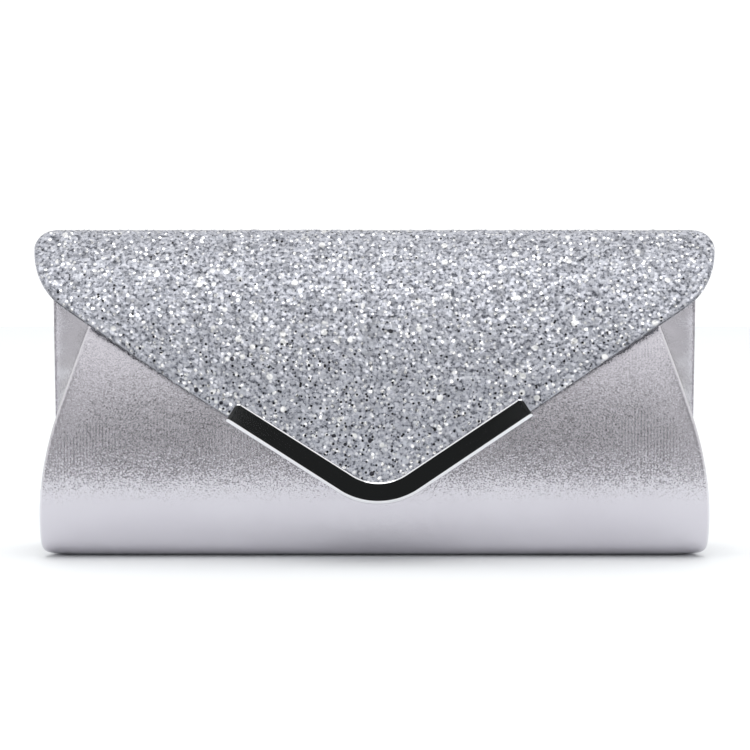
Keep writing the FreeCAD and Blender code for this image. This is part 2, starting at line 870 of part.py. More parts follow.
ring_y = facing_face - play - tab_loop
for side_name, side in (("left", -1), ("right", 1)):
    reach = ring_reach * side
    ring = make_body(f"d_ring_{side_name}")
    path_sketch = make_sketch(ring, "path", "XZ_Plane")
    add_outline(path_sketch, ring_path())
    wire_sketch = make_sketch(ring, "wire", "YZ_Plane")
    add_circle(wire_sketch, wire_radius)
    pipe = ring.newObject("PartDesign::AdditivePipe", f"d_ring_{side_name}_pipe")
    pipe.Profile = wire_sketch
    pipe.Spine = path_sketch
    place(ring, reach, ring_y, ring_height)

    tab = make_body(f"ring_tab_{side_name}")
    loop_sketch = make_sketch(tab, "loop", "YZ_Plane")
    add_circle(loop_sketch, tab_loop)
    pad(tab, loop_sketch, tab_half * 2, symmetric=True)
    tail_sketch = make_sketch(tab, "tail", "YZ_Plane")
    tail_front = tab_loop - tab_thickness
    add_outline(
        tail_sketch,
        [(tail_front, as_size(0)), (tab_loop, as_size(0)), (tab_loop, tab_tail), (tail_front, tab_tail)],
    )
    pad(tab, tail_sketch, tab_half * 2, symmetric=True)
    bore_sketch = make_sketch(tab, "bore", "YZ_Plane")
    add_circle(bore_sketch, tab_bore)
    cut_through(tab, bore_sketch)
    place(tab, reach, ring_y, ring_height)


# ---------------------------------------------------------------- check and write

document.recompute()

problems = []
for item in document.Objects:
    if "Invalid" in item.State or "Error" in item.State:
        problems.append(f"{item.Name}: {item.State}")

bodies = [item for item in document.Objects if item.TypeId == "PartDesign::Body"]
os.makedirs("parts", exist_ok=True)
for body in bodies:
    if body.Shape.isNull() or not body.Shape.isValid():
        problems.append(f"{body.Label}: shape is null or not valid")

if problems:
    raise RuntimeError("; ".join(problems))

box = FreeCAD.BoundBox()
for body in bodies:
    body.Shape.exportStep(f"parts/{body.Label}.step")
    box.add(body.Shape.BoundBox)
    print(f"{body.Label}: {len(body.Shape.Solids)} solid(s), {body.Shape.Volume:.1f} mm3")
print(f"x {box.XMin:.2f} {box.XMax:.2f}, y {box.YMin:.2f} {box.YMax:.2f}, z {box.ZMin:.2f} {box.ZMax:.2f}")
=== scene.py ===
"""Looks of the evening bag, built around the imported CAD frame.

Metres, +X right, +Y back, +Z up. Sheets of material follow the bag's side profile: a path in the YZ
plane made of tangent arcs and lines, which each sheet shares at its own depth.
"""

import json
import math

import bmesh
import bpy
import numpy as np
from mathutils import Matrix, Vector, kdtree


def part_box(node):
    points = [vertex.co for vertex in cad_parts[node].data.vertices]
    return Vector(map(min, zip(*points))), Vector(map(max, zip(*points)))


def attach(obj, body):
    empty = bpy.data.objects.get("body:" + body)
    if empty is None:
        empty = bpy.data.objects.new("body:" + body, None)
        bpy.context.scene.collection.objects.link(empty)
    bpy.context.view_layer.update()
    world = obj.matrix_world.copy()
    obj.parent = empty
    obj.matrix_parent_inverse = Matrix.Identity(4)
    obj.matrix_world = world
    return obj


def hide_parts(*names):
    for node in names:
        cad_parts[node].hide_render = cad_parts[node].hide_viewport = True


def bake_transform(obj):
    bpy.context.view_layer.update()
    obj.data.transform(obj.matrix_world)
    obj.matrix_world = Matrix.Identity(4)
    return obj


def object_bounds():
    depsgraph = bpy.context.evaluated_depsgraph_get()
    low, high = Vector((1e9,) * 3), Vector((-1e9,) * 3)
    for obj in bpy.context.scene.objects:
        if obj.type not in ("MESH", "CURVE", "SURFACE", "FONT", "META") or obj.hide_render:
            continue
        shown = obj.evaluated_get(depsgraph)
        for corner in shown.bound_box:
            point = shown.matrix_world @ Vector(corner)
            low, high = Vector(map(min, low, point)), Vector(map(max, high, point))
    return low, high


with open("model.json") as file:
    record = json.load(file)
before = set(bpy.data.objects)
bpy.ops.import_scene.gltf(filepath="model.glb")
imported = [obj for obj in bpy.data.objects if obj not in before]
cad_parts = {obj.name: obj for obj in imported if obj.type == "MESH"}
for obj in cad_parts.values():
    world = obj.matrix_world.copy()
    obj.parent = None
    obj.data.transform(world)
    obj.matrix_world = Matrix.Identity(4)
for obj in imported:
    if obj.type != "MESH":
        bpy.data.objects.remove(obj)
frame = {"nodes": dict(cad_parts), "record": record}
cad_low, cad_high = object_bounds()

MM = 0.001

# Places read from the frame.
strip_low, strip_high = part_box("spine_cover")
pocket_low, pocket_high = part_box("slip_pocket")
back_lining_low, back_lining_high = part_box("back_lining")
back_facing_low, back_facing_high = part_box("back_facing")
front_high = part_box("front_panel")[1]
back_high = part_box("back_panel")[1]
trim_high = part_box("flap_trim")[1]
facing_low_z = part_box("front_facing")[0].z
board_low_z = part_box("front_board")[0].z
binding_low_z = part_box("slip_pocket_binding")[0].z
spine_lining_low_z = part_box("spine_lining")[0].z

FRONT_HALF = front_high.x
BODY_HALF = back_high.x
FLAP_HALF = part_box("flap_cover")[1].x
MOUTH_Z = front_high.z
BACK_FACE = strip_high.y
PANEL_BACK = back_high.y
BACK_TOP = back_high.z
STRIP_BOTTOM = strip_low.z

# Side profile, the same as the CAD model's.
SPINE_RADIUS = 9.0 * MM
FLAP_BOW = 116.0 * MM
FLAT_HEIGHT = 60.0 * MM
TIP_LEAN = 8.4
FLAP_THICKNESS = 2.5 * MM
FLAP_CLEARANCE = 2.0 * MM
BELLY_HEIGHT = 33.0 * MM
UNDER_RADIUS = 70.0 * MM
UNDER_ANGLE = 22.0
BACK_FOLD = 4.0 * MM
SKIN = 0.8 * MM
WALL = 2.95 * MM

# Front views.
KNEE_HEIGHT = 33.0 * MM
KNEE_RADIUS = 150.0 * MM
SIDE_LEAN = 18.5
BOTTOM_CORNER = 2.5 * MM
FLAP_SLOPE = 33.0
FLAP_POINT = 19.5 * MM
FLAP_SHOULDER = 28.4 * MM
FLAP_TOP_CORNER = 6.0 * MM
FLAP_TIP_ROUND = 27.0 * MM
STRIP_LOW_HALF = 122.0 * MM
TRIM_SLOPE = 33.0
TRIM_POINT = 17.9 * MM
TRIM_WIDTH = 8.4 * MM
TRIM_SPAN = 57.0 * MM
TRIM_OUTER_ROUND = 28.0 * MM
TRIM_INNER_ROUND = 18.0 * MM


def sin(degrees):
    return math.sin(math.radians(degrees))


def cos(degrees):
    return math.cos(math.radians(degrees))


def tan(degrees):
    return math.tan(math.radians(degrees))


spine_y = BACK_FACE - SPINE_RADIUS
spine_z = strip_high.z - SPINE_RADIUS
bow_z = FLAT_HEIGHT - FLAP_BOW * sin(TIP_LEAN)
bow_y = spine_y + math.sqrt((FLAP_BOW - SPINE_RADIUS) ** 2 - (spine_z - bow_z) ** 2)
spine_lean = math.degrees(math.asin((spine_z - bow_z) / (FLAP_BOW - SPINE_RADIUS)))
front_bow = FLAP_BOW - FLAP_THICKNESS - FLAP_CLEARANCE
bow_end_z = bow_z + front_bow * sin(TIP_LEAN)
belly_radius = (bow_end_z - BELLY_HEIGHT) / sin(TIP_LEAN)
belly_y = bow_y + (belly_radius - front_bow) * cos(TIP_LEAN)
under_y = belly_y - belly_radius + UNDER_RADIUS
under_end_z = BELLY_HEIGHT - UNDER_RADIUS * sin(UNDER_ANGLE)
edge_radius = under_end_z / (1 - sin(UNDER_ANGLE))
edge_y = under_y - (UNDER_RADIUS - edge_radius) * cos(UNDER_ANGLE)


class Path:
    """A smooth path in the YZ plane with an outward normal, looked up by length."""

    STEP = 0.2 * MM

    def __init__(self):
        self.places = []
        self.normals = []

    def line(self, start, end, normal):
        """A straight run. The normal is an angle from +Y towards +Z."""
        count = max(2, int(math.dist(start, end) / self.STEP))
        for share in np.linspace(0, 1, count):
            self.places.append([a + (b - a) * share for a, b in zip(start, end)])
            self.normals.append([cos(normal), sin(normal)])
        return self

    def arc(self, centre, radius, start, end, side=1):
        """An arc about a centre between two angles. A side of -1 turns the normal to the centre."""
        count = max(3, int(abs(math.radians(end - start)) * radius / self.STEP))
        for angle in np.linspace(start, end, count):
            self.places.append([centre[0] + radius * cos(angle), centre[1] + radius * sin(angle)])
            self.normals.append([side * cos(angle), side * sin(angle)])
        return self

    def done(self):
        self.places = np.array(self.places)
        self.normals = np.array(self.normals)
        steps = np.linalg.norm(np.diff(self.places, axis=0), axis=1)
        self.lengths = np.concatenate([[0], np.cumsum(steps)])
        self.length = float(self.lengths[-1])
        return self

    def at(self, along, depth=0.0):
        """Places and normals at lengths along the path, moved inwards by a depth."""
        along = np.asarray(along, float)
        normal = np.stack([np.interp(along, self.lengths, self.normals[:, k]) for k in (0, 1)], -1)
        normal /= np.linalg.norm(normal, axis=-1, keepdims=True)
        place = np.stack([np.interp(along, self.lengths, self.places[:, k]) for k in (0, 1)], -1)
        return place - normal * np.asarray(depth)[..., None], normal

    def height_at(self, along):
        return float(self.at([along])[0][0, 1])

    def along_at_height(self, height, low, high):
        """Length at which the path passes a height, between two lengths."""
        picked = (self.lengths >= low) & (self.lengths <= high)
        gaps = np.abs(self.places[picked, 1] - height)
        return float(self.lengths[picked][int(np.argmin(gaps))])


def smooth_step(value, low, high):
    share = np.clip((np.asarray(value, float) - low) / (high - low), 0, 1)
    return share * share * (3 - 2 * share)


def ripple(across, along, pitch, seed):
    """Soft unevenness from 0 to 1: a sum of slow waves in random directions."""
    random = np.random.default_rng(seed)
    total = 0.0
    for _ in range(6):
        angle, phase = random.uniform(0, 2 * math.pi, 2)
        wave = 2 * math.pi / (pitch * random.uniform(0.7, 1.6))
        total = total + np.sin((across * math.cos(angle) + along * math.sin(angle)) * wave + phase)
    return 0.5 + total / 12


# ------------------------------------------------------------------ mesh helpers


def new_object(name, points, faces, smooth=True):
    mesh = bpy.data.meshes.new(name)
    mesh.from_pydata([tuple(point) for point in points], [], [tuple(face) for face in faces])
    mesh.update()
    mesh.shade_smooth() if smooth else mesh.shade_flat()
    piece = bpy.data.objects.new(name, mesh)
    bpy.context.scene.collection.objects.link(piece)
    return piece


def set_uv(piece, flat_places):
    """Give the mesh a UV map holding each vertex's flat place, in metres."""
    layer = piece.data.uv_layers.new(name="flat")
    corners = np.empty(len(piece.data.loops), np.int32)
    piece.data.loops.foreach_get("vertex_index", corners)
    layer.data.foreach_set("uv", np.asarray(flat_places, np.float32)[corners].ravel())


def set_value(piece, name, values):
    attribute = piece.data.attributes.new(name, "FLOAT", "POINT")
    attribute.data.foreach_set("value", np.asarray(values, np.float32))


def turn_outwards(piece):
    """Make all of a closed mesh's faces look outwards."""
    shape = bmesh.new()
    shape.from_mesh(piece.data)
    bmesh.ops.recalc_face_normals(shape, faces=shape.faces)
    shape.to_mesh(piece.data)
    shape.free()


def grid_faces(rows, columns, start=0, flip=False):
    faces = []
    for row in range(rows - 1):
        for column in range(columns - 1):
            a = start + row * columns + column
            face = (a, a + 1, a + columns + 1, a + columns)
            faces.append(face[::-1] if flip else face)
    return faces


def ring_faces(count, sides, start=0, closed=False):
    """Faces between each ring of points and the next, and from the last to the first if closed."""
    faces = []
    for k in range(count if closed else count - 1):
        here = start + k * sides
        there = start + (k + 1) % count * sides
        for j in range(sides):
            beside = (j + 1) % sides
            faces.append((here + j, here + beside, there + beside, there + j))
    return faces


def end_faces(count, sides, start=0):
    """The faces over the first and last of a run of rings."""
    last = start + (count - 1) * sides
    return [tuple(range(start, start + sides))[::-1], tuple(range(last, last + sides))]


def zipper_faces(first, second):
    """Triangles between two rows of vertex numbers of unequal counts, evenly spread."""
    faces = []
    i = 0
    j = 0
    while i < len(first) - 1 or j < len(second) - 1:
        share_i = (i + 1) / max(1, len(first) - 1)
        share_j = (j + 1) / max(1, len(second) - 1)
        if j >= len(second) - 1 or (i < len(first) - 1 and share_i <= share_j):
            faces.append((first[i], first[i + 1], second[j]))
            i += 1
        else:
            faces.append((first[i], second[j + 1], second[j]))
            j += 1
    return faces


class Sheet:
    """A closed thin sheet, made row by row from outer and inner points and their flat places."""

    def __init__(self):
        self.outer = []
        self.inner = []
        self.flats = []

    def add(self, outer, inner, flat_across, along):
        self.outer.append(outer)
        self.inner.append(inner)
        self.flats.append(np.column_stack([flat_across, np.full(len(flat_across), along)]))

    def mesh(self, name):
        outer = np.array(self.outer)
        inner = np.array(self.inner)
        rows, columns = outer.shape[:2]
        count = rows * columns
        top = list(range(columns))
        right = [row * columns + columns - 1 for row in range(1, rows)]
        bottom = [(rows - 1) * columns + column for column in range(columns - 2, -1, -1)]
        left = [row * columns for row in range(rows - 2, 0, -1)]
        loop = top + right + bottom + left
        faces = grid_faces(rows, columns) + grid_faces(rows, columns, start=count, flip=True)
        faces += [(b, a, a + count, b + count) for a, b in zip(loop, loop[1:] + loop[:1])]
        piece = new_object(name, np.concatenate([outer.reshape(-1, 3), inner.reshape(-1, 3)]), faces)
        set_uv(piece, np.concatenate(self.flats * 2))
        turn_outwards(piece)
        piece.data.set_sharp_from_angle(angle=math.radians(50))
        return piece

    def declare(self, piece, held, rests_on):
        """Work out the widths of the flat rows and the steps between them."""
        widths = np.array([row[:, 0].max() - row[:, 0].min() for row in self.flats])
        steps = np.abs(np.diff([row[0, 1] for row in self.flats]))


def ring_of_wire(name, centres, radius, sides=14):
    """A closed ring of round wire along points that lie in a plane of constant y."""
    centres = np.asarray(centres, float)
    along = np.roll(centres, -1, axis=0) - np.roll(centres, 1, axis=0)
    along /= np.linalg.norm(along, axis=1, keepdims=True)
    aside = np.cross(along, (0, 1, 0))
    turn = np.linspace(0, 2 * math.pi, sides, endpoint=False)
    rings = [
        centre + radius * (np.outer(np.cos(turn), outwards) + np.outer(np.sin(turn), (0, 1, 0)))
        for centre, outwards in zip(centres, aside)
    ]
    piece = new_object(name, np.concatenate(rings), ring_faces(len(rings), sides, closed=True))
    turn_outwards(piece)
    return piece


def lathe(name, profile, centre, axis, sides=64):
    """A turned piece: (radius, height) places about an axis in the YZ plane, closed at radius 0."""
    axis = Vector(axis).normalized()
    across = Vector((1, 0, 0))
    up = axis.cross(across)
    points = []
    for radius, height in profile[1:-1]:
        for k in range(sides):
            angle = 2 * math.pi * k / sides
            spot = Vector(centre) + axis * height
            points.append(spot + across * radius * math.cos(angle) + up * radius * math.sin(angle))
    low_end = len(points)
    last = low_end - sides
    points += [Vector(centre) + axis * profile[end][1] for end in (0, -1)]
    faces = ring_faces(len(profile) - 2, sides)
    for k in range(sides):
        beside = (k + 1) % sides
        faces.append((k, beside, low_end))
        faces.append((last + k, last + beside, low_end + 1))
    piece = new_object(name, points, faces)
    turn_outwards(piece)
    piece.data.set_sharp_from_angle(angle=math.radians(28))
    return piece


# ------------------------------------------------------------------ side profiles

flap_path = (
    Path()
    .line((BACK_FACE, STRIP_BOTTOM), (BACK_FACE, spine_z), 0)
    .arc((spine_y, spine_z), SPINE_RADIUS, 0, 180 - spine_lean)
    .arc((bow_y, bow_z), FLAP_BOW, 180 - spine_lean, 180 - TIP_LEAN)
)
flap_front_start = spine_z - STRIP_BOTTOM + math.radians(180 - spine_lean) * SPINE_RADIUS
flat_start = flap_path.places[-1]
flat_run = FLAT_HEIGHT - FLAP_POINT + 2 * MM
flat_end = (flat_start[0] - flat_run * tan(TIP_LEAN), flat_start[1] - flat_run)
flap_path.line(flat_start, flat_end, 180 - TIP_LEAN).done()

facing_radius = front_bow - WALL
facing_low_lean = math.degrees(math.asin((facing_low_z - bow_z) / facing_radius))
rim_radius = WALL / 2
rim_bow = front_bow - rim_radius
rim_lean = math.degrees(math.asin((MOUTH_Z - rim_radius - bow_z) / rim_bow))
rim_centre = (bow_y - rim_bow * cos(rim_lean), bow_z + rim_bow * sin(rim_lean))
facing_length = float(np.radians(rim_lean - facing_low_lean) * (rim_bow - rim_radius))
rim_end = facing_length + math.pi * rim_radius

# The front skin's path: up the inside facing, over the rim of the mouth, down the front, under the
# base and round the fold at the back.
front_path = (
    Path()
    .arc((bow_y, bow_z), rim_bow - rim_radius, 180 - facing_low_lean, 180 - rim_lean, side=-1)
    .arc(rim_centre, rim_radius, 360 - rim_lean, 180 - rim_lean)
    .arc((bow_y, bow_z), rim_bow + rim_radius, 180 - rim_lean, 180 - TIP_LEAN)
    .arc((belly_y, BELLY_HEIGHT), belly_radius, 180 - TIP_LEAN, 180)
    .arc((under_y, BELLY_HEIGHT), UNDER_RADIUS, 180, 180 + UNDER_ANGLE)
    .arc((edge_y, edge_radius), edge_radius, 180 + UNDER_ANGLE, 270)
    .line((edge_y, 0), (PANEL_BACK - BACK_FOLD, 0), 270)
    .arc((PANEL_BACK - BACK_FOLD, BACK_FOLD), BACK_FOLD, 270, 360)
    .done()
)
back_path = Path().line((PANEL_BACK, BACK_FOLD * 0.6), (PANEL_BACK, BACK_TOP), 0).done()


def front_half(height):
    """Half width of the front panel at a height: upright, then leaning in above a rounded knee."""
    knee_run = KNEE_RADIUS * (1 - cos(SIDE_LEAN)) / sin(SIDE_LEAN)
    low = KNEE_HEIGHT - knee_run
    high = KNEE_HEIGHT + knee_run * cos(SIDE_LEAN)
    height = np.asarray(height, float)
    rise = np.clip(height - low, 0, KNEE_RADIUS * 0.99)
    knee = FRONT_HALF - KNEE_RADIUS + np.sqrt(KNEE_RADIUS**2 - rise**2)
    leaning = FRONT_HALF - (height - KNEE_HEIGHT) * tan(SIDE_LEAN)
    short = np.clip(BOTTOM_CORNER - height, 0, BOTTOM_CORNER)
    corner = FRONT_HALF - BOTTOM_CORNER + np.sqrt(BOTTOM_CORNER**2 - short**2)
    half = np.where(height > high, leaning, np.where(height > low, knee, FRONT_HALF))
    return np.where(height < BOTTOM_CORNER, corner, half)


def flap_half(height):
    """Half width of the flap at a height in front view, down to nothing at its rounded point."""
    slope = tan(FLAP_SLOPE)
    run = FLAP_SHOULDER * (1 - sin(FLAP_SLOPE)) / cos(FLAP_SLOPE)
    shoulder_z = FLAP_POINT + FLAP_HALF * slope
    round_high = shoulder_z + run
    round_low = shoulder_z - run * sin(FLAP_SLOPE)
    tip_x = FLAP_TIP_ROUND * sin(FLAP_SLOPE)
    tip_z = FLAP_POINT + tip_x * slope
    tip_centre = tip_z + FLAP_TIP_ROUND * cos(FLAP_SLOPE)
    corner_z = strip_high.z - FLAP_TOP_CORNER
    height = np.asarray(height, float)
    straight = (height - FLAP_POINT) / slope
    drop = np.clip(round_high - height, 0, FLAP_SHOULDER)
    shoulder = FLAP_HALF - FLAP_SHOULDER + np.sqrt(FLAP_SHOULDER**2 - drop**2)
    below = np.clip(tip_centre - height, 0, FLAP_TIP_ROUND)
    tip = np.sqrt(FLAP_TIP_ROUND**2 - below**2)
    over = np.clip(height - corner_z, 0, FLAP_TOP_CORNER)
    corner = FLAP_HALF - FLAP_TOP_CORNER + np.sqrt(FLAP_TOP_CORNER**2 - over**2)
    half = np.where(height < round_low, straight, shoulder)
    half = np.where(height > round_high, FLAP_HALF, half)
    half = np.where(height < tip_z, tip, half)
    return np.where(height > corner_z, corner, half)


FLAP_TIP_Z = FLAP_POINT + FLAP_TIP_ROUND * (1 / cos(FLAP_SLOPE) - 1)


def place_row(path, along, across, depth):
    """Points of one row at a length along a side profile."""
    spot, _ = path.at(np.full(len(across), along), depth)
    return np.column_stack([across, spot[:, 0], spot[:, 1]])


# ------------------------------------------------------------------ shader helpers


def plug(tree, socket, value):
    """Link a socket to the socket that feeds it, or set its value."""
    if isinstance(value, bpy.types.NodeSocket):
        tree.links.new(value, socket)
    else:
        socket.default_value = value


def add(tree, kind, inputs=None, **settings):
    """Add a shader node. Inputs are values or the sockets that feed them."""
    node = tree.nodes.new("ShaderNode" + kind)
    for name, value in settings.items():
        setattr(node, name, value)
    for name, value in (inputs or {}).items():
        plug(tree, node.inputs[name], value)
    return node


def calc(tree, operation, *values):
    return add(tree, "Math", dict(enumerate(values)), operation=operation).outputs[0]


def mix_colour(tree, factor, first, second, blend="MIX"):
    inputs = {0: factor, 6: first, 7: second}
    return add(tree, "Mix", inputs, data_type="RGBA", blend_type=blend).outputs[2]


def ramp(tree, factor, stops):
    """A colour ramp from (place, value or colour) stops."""
    node = add(tree, "ValToRGB", {"Fac": factor})
    elements = node.color_ramp.elements
    while len(elements) < len(stops):
        elements.new(0.5)
    for element, (place, value) in zip(elements, stops):
        element.position = place
        colour = value if isinstance(value, tuple) else (value, value, value)
        element.color = (*colour, 1)
    return node.outputs["Color"]


def remap(tree, value, start, end, first=0.0, last=1.0, kind="LINEAR"):
    """A value taken from one range to another and held at its ends."""
    inputs = {"Value": value, "From Min": start, "From Max": end, "To Min": first, "To Max": last}
    return add(tree, "MapRange", inputs, interpolation_type=kind).outputs[0]


def noise(tree, place, scale, detail=2.0, roughness=0.5):
    inputs = {"Vector": place, "Scale": scale, "Detail": detail, "Roughness": roughness}
    return add(tree, "TexNoise", inputs).outputs[0]


def moved(tree, place, **inputs):
    """A place shifted, turned or scaled by the inputs named."""
    return add(tree, "Mapping", {"Vector": place, **inputs}).outputs[0]


def bump(tree, height, strength, distance):
    return add(tree, "Bump", {"Height": height, "Strength": strength, "Distance": distance}).outputs[0]


def painted(tree, name):
    """A value stored on the mesh's points."""
    return add(tree, "Attribute", attribute_name=name).outputs["Fac"]


def object_place(tree):
    return add(tree, "TexCoord").outputs["Object"]


def flat_millimetres(tree):
    """The flat place of the surface point, in millimetres."""
    uv = add(tree, "UVMap", uv_map="flat").outputs[0]
    return add(tree, "VectorMath", {0: uv, "Scale": 1000.0}, operation="SCALE").outputs[0]


def tilted_normal(tree, normal, random, amount):
    """The normal leant by a random vector, given as a colour from 0 to 1."""
    centred = add(tree, "VectorMath", {0: random, 1: (0.5, 0.5, 0.5)}, operation="SUBTRACT").outputs[0]
    tilt = add(tree, "VectorMath", {0: centred, "Scale": amount}, operation="SCALE").outputs[0]
    leant = add(tree, "VectorMath", {0: normal, 1: tilt}, operation="ADD").outputs[0]
    return add(tree, "VectorMath", {0: leant}, operation="NORMALIZE").outputs[0]


def new_material(name, colour):
    material = bpy.data.materials.new(name)
    material.use_nodes = True
    material.diffuse_color = (*colour, 1)
    tree = material.node_tree
    tree.nodes.clear()
    surface = add(tree, "BsdfPrincipled")
    add(tree, "OutputMaterial", {"Surface": surface.outputs[0]})
    return material, tree, surface


def feed(tree, surface, **inputs):
    """Set or link the surface's inputs; underscores in names stand for spaces."""
    for name, value in inputs.items():
        plug(tree, surface.inputs[name.replace("_", " ")], value)


# ------------------------------------------------------------------ materials

GRAIN_DEPTH = 0.08 * MM
FACET_PITCH = 0.46
FACET_TILT = 0.185
WEAVE_PITCH = 1.2
LEATHER_ROUGHNESS = 0.11
LEATHER_DARK = (0.595, 0.575, 0.625, 1)
LEATHER_LIGHT = (0.660, 0.645, 0.690, 1)
SHADE = (0.10, 0.10, 0.11, 1)
# Colour of the painted highlight along the front skin's turned side edges.
PAINTED_EDGE_HIGHLIGHT = (0.92, 0.91, 0.93, 1)


def metallic_leather():
    """Silver coated fabric: a fine pebbled grain over a faint weave, with a soft metallic lustre."""
    material, tree, surface = new_material("metallic_leather", (0.55, 0.53, 0.57))
    place = flat_millimetres(tree)
    grain = noise(tree, place, 1.5, 3.0, 0.7)
    pebble = add(tree, "TexVoronoi", {"Vector": place, "Scale": 2.1}, feature="SMOOTH_F1")
    threads = noise(tree, moved(tree, place, Scale=(2.0, 0.14, 1.0)), 1.0)
    height = calc(tree, "MULTIPLY_ADD", pebble.outputs["Distance"], 0.35, grain)
    height = calc(tree, "MULTIPLY_ADD", threads, 0.22, height)
    sideways = add(tree, "SeparateXYZ", {"Vector": place}).outputs[0]
    weave = calc(tree, "SINE", calc(tree, "MULTIPLY", sideways, 2 * math.pi / WEAVE_PITCH))
    shows = ramp(tree, noise(tree, place, 0.035, 1.0), [(0.48, 0.0), (0.60, 0.30)])
    height = calc(tree, "MULTIPLY_ADD", weave, shows, height)
    facets = add(tree, "TexVoronoi", {"Vector": place, "Scale": 1 / FACET_PITCH})
    grained = bump(tree, height, 1.0, GRAIN_DEPTH)
    normal = tilted_normal(tree, grained, facets.outputs["Color"], FACET_TILT)

    tint = mix_colour(tree, noise(tree, place, 0.03, 3.0), LEATHER_DARK, LEATHER_LIGHT)
    speck = ramp(tree, noise(tree, place, 3.1, 1.0), [(0.30, 0.84), (0.5, 1.0), (0.72, 1.10)])
    colour = mix_colour(tree, 0.7, tint, speck, "MULTIPLY")
    colour = mix_colour(tree, calc(tree, "MULTIPLY", painted(tree, "shaded"), 0.24), colour, SHADE)
    # Painted highlight along the front skin's turned side edges.
    colour = mix_colour(tree, calc(tree, "MULTIPLY", painted(tree, "edge_highlight"), 0.4), colour, PAINTED_EDGE_HIGHLIGHT)
    rough = calc(tree, "MULTIPLY_ADD", grain, 0.08, LEATHER_ROUGHNESS)
    feed(tree, surface, Base_Color=colour, Metallic=0.95, Roughness=rough, Normal=normal)
    return material


def flakes(tree, place, pitch, start, radius, soft, share):
    """Random flakes about a pitch apart, all in millimetres; a share of them is left.

    Gives how much of a flake shows, the flakes' random values, and those values as one colour.
    """
    shifted = moved(tree, place, Location=(start, start * 0.7, 0.0))
    cells = add(tree, "TexVoronoi", {"Vector": shifted, "Scale": 1 / pitch})
    distance = calc(tree, "MULTIPLY", cells.outputs["Distance"], pitch)
    chance = add(tree, "SeparateColor", {"Color": cells.outputs["Color"]}).outputs
    near = remap(tree, distance, radius, radius + soft, 1.0, 0.0, "SMOOTHSTEP")
    shown = calc(tree, "MULTIPLY", near, calc(tree, "LESS_THAN", chance[0], share))
    return shown, chance, cells.outputs["Color"]


def glitter_fabric():
    """Coarse glitter: silver-grey flakes of several sizes, white sparks and black specks under gloss."""
    material, tree, surface = new_material("glitter_fabric", (0.55, 0.57, 0.63))
    place = flat_millimetres(tree)
    height = add(tree, "SeparateXYZ", {"Vector": place}).outputs[1]
    low = remap(tree, height, 60.0, 145.0)

    base = noise(tree, place, 0.7, 3.0, 0.6)
    ground = [(0.38, (0.10, 0.105, 0.13)), (0.46, (0.38, 0.395, 0.45)), (0.60, (0.62, 0.63, 0.69))]
    colour = ramp(tree, base, ground)

    shown, chance, leaning = flakes(tree, place, 1.45, 3.0, 0.44, 0.24, 0.75)
    greys = [(0.0, (0.14, 0.15, 0.18)), (0.25, (0.44, 0.455, 0.52)), (0.7, (0.72, 0.73, 0.79)), (1.0, 0.98)]
    colour = mix_colour(tree, shown, colour, ramp(tree, chance[1], greys))

    clear = flakes(tree, place, 3.8, 17.0, 1.1, 0.4, 0.32)[0]
    colour = mix_colour(tree, calc(tree, "MULTIPLY", clear, 0.5), colour, (0.66, 0.68, 0.74, 1))

    # Sparks and light clumps, then black specks and dark clumps, both denser towards the point. The black
    # flakes are real;
    # their rise in share towards the point is painted dark reflection of the room's dark side, which the
    # lower flap faces.
    spark_share = calc(tree, "MULTIPLY_ADD", low, 0.06, 0.42)
    speck_share = calc(tree, "MULTIPLY_ADD", low, 0.85, 0.10)
    clump_share = calc(tree, "MULTIPLY_ADD", low, 0.24, -0.02)
    sparks = flakes(tree, place, 2.1, 41.0, 0.52, 0.20, spark_share)[0]
    light = flakes(tree, place, 5.2, 67.0, 0.95, 0.50, 0.26)[0]
    specks = flakes(tree, place, 1.9, 83.0, 0.44, 0.10, speck_share)[0]
    dark = flakes(tree, place, 4.6, 91.0, 0.80, 0.20, clump_share)[0]
    colour = mix_colour(tree, sparks, colour, (1.0, 1.0, 1.0, 1))
    colour = mix_colour(tree, light, colour, (1.0, 1.0, 1.0, 1))
    colour = mix_colour(tree, specks, colour, (0.01, 0.01, 0.015, 1))
    colour = mix_colour(tree, dark, colour, (0.03, 0.03, 0.04, 1))

    patches = ramp(tree, noise(tree, place, 0.22), [(0.36, 0.80), (0.50, 1.0)])
    # Darker over the top of the spine and down the back strip.
    darker_over_spine = remap(tree, height, 42.0, 56.0, 0.80, 1.0)
    patches = mix_colour(tree, 1.0, patches, darker_over_spine, "MULTIPLY")
    colour = mix_colour(tree, 1.0, colour, patches, "MULTIPLY")
    rim = painted(tree, "rim")
    colour = mix_colour(tree, rim, colour, (0.42, 0.43, 0.48, 1))
    # Painted shadow: a broken dark line along the flap's lower front edge, where the edge lies in shade.
    painted_edge_shadow = calc(tree, "MULTIPLY", painted(tree, "edge_shadow"), calc(tree, "GREATER_THAN", base, 0.46))
    colour = mix_colour(tree, painted_edge_shadow, colour, (0.04, 0.04, 0.05, 1))

    normal = add(tree, "NewGeometry").outputs["Normal"]
    tilted = tilted_normal(tree, normal, leaning, calc(tree, "MULTIPLY_ADD", rim, -0.45, 0.60))
    metal = calc(tree, "MAXIMUM", sparks, 0.2)
    feed(tree, surface, Base_Color=colour, Metallic=metal, Roughness=0.2, Normal=tilted)
    feed(tree, surface, Specular_IOR_Level=0.4)
    return material


def polished_metal(name, colour, roughness, scratch=0.02):
    """Plated metal with faint hairlines."""
    material, tree, surface = new_material(name, colour)
    hair = noise(tree, moved(tree, object_place(tree), Scale=(300.0, 300.0, 2600.0)), 1.0)
    rough = calc(tree, "MULTIPLY_ADD", hair, scratch, roughness)
    tint = mix_colour(tree, hair, (*[0.97 * c for c in colour], 1), (*colour, 1))
    normal = bump(tree, hair, 0.04, 0.02 * MM)
    feed(tree, surface, Base_Color=tint, Metallic=1.0, Roughness=rough, Normal=normal)
    return material


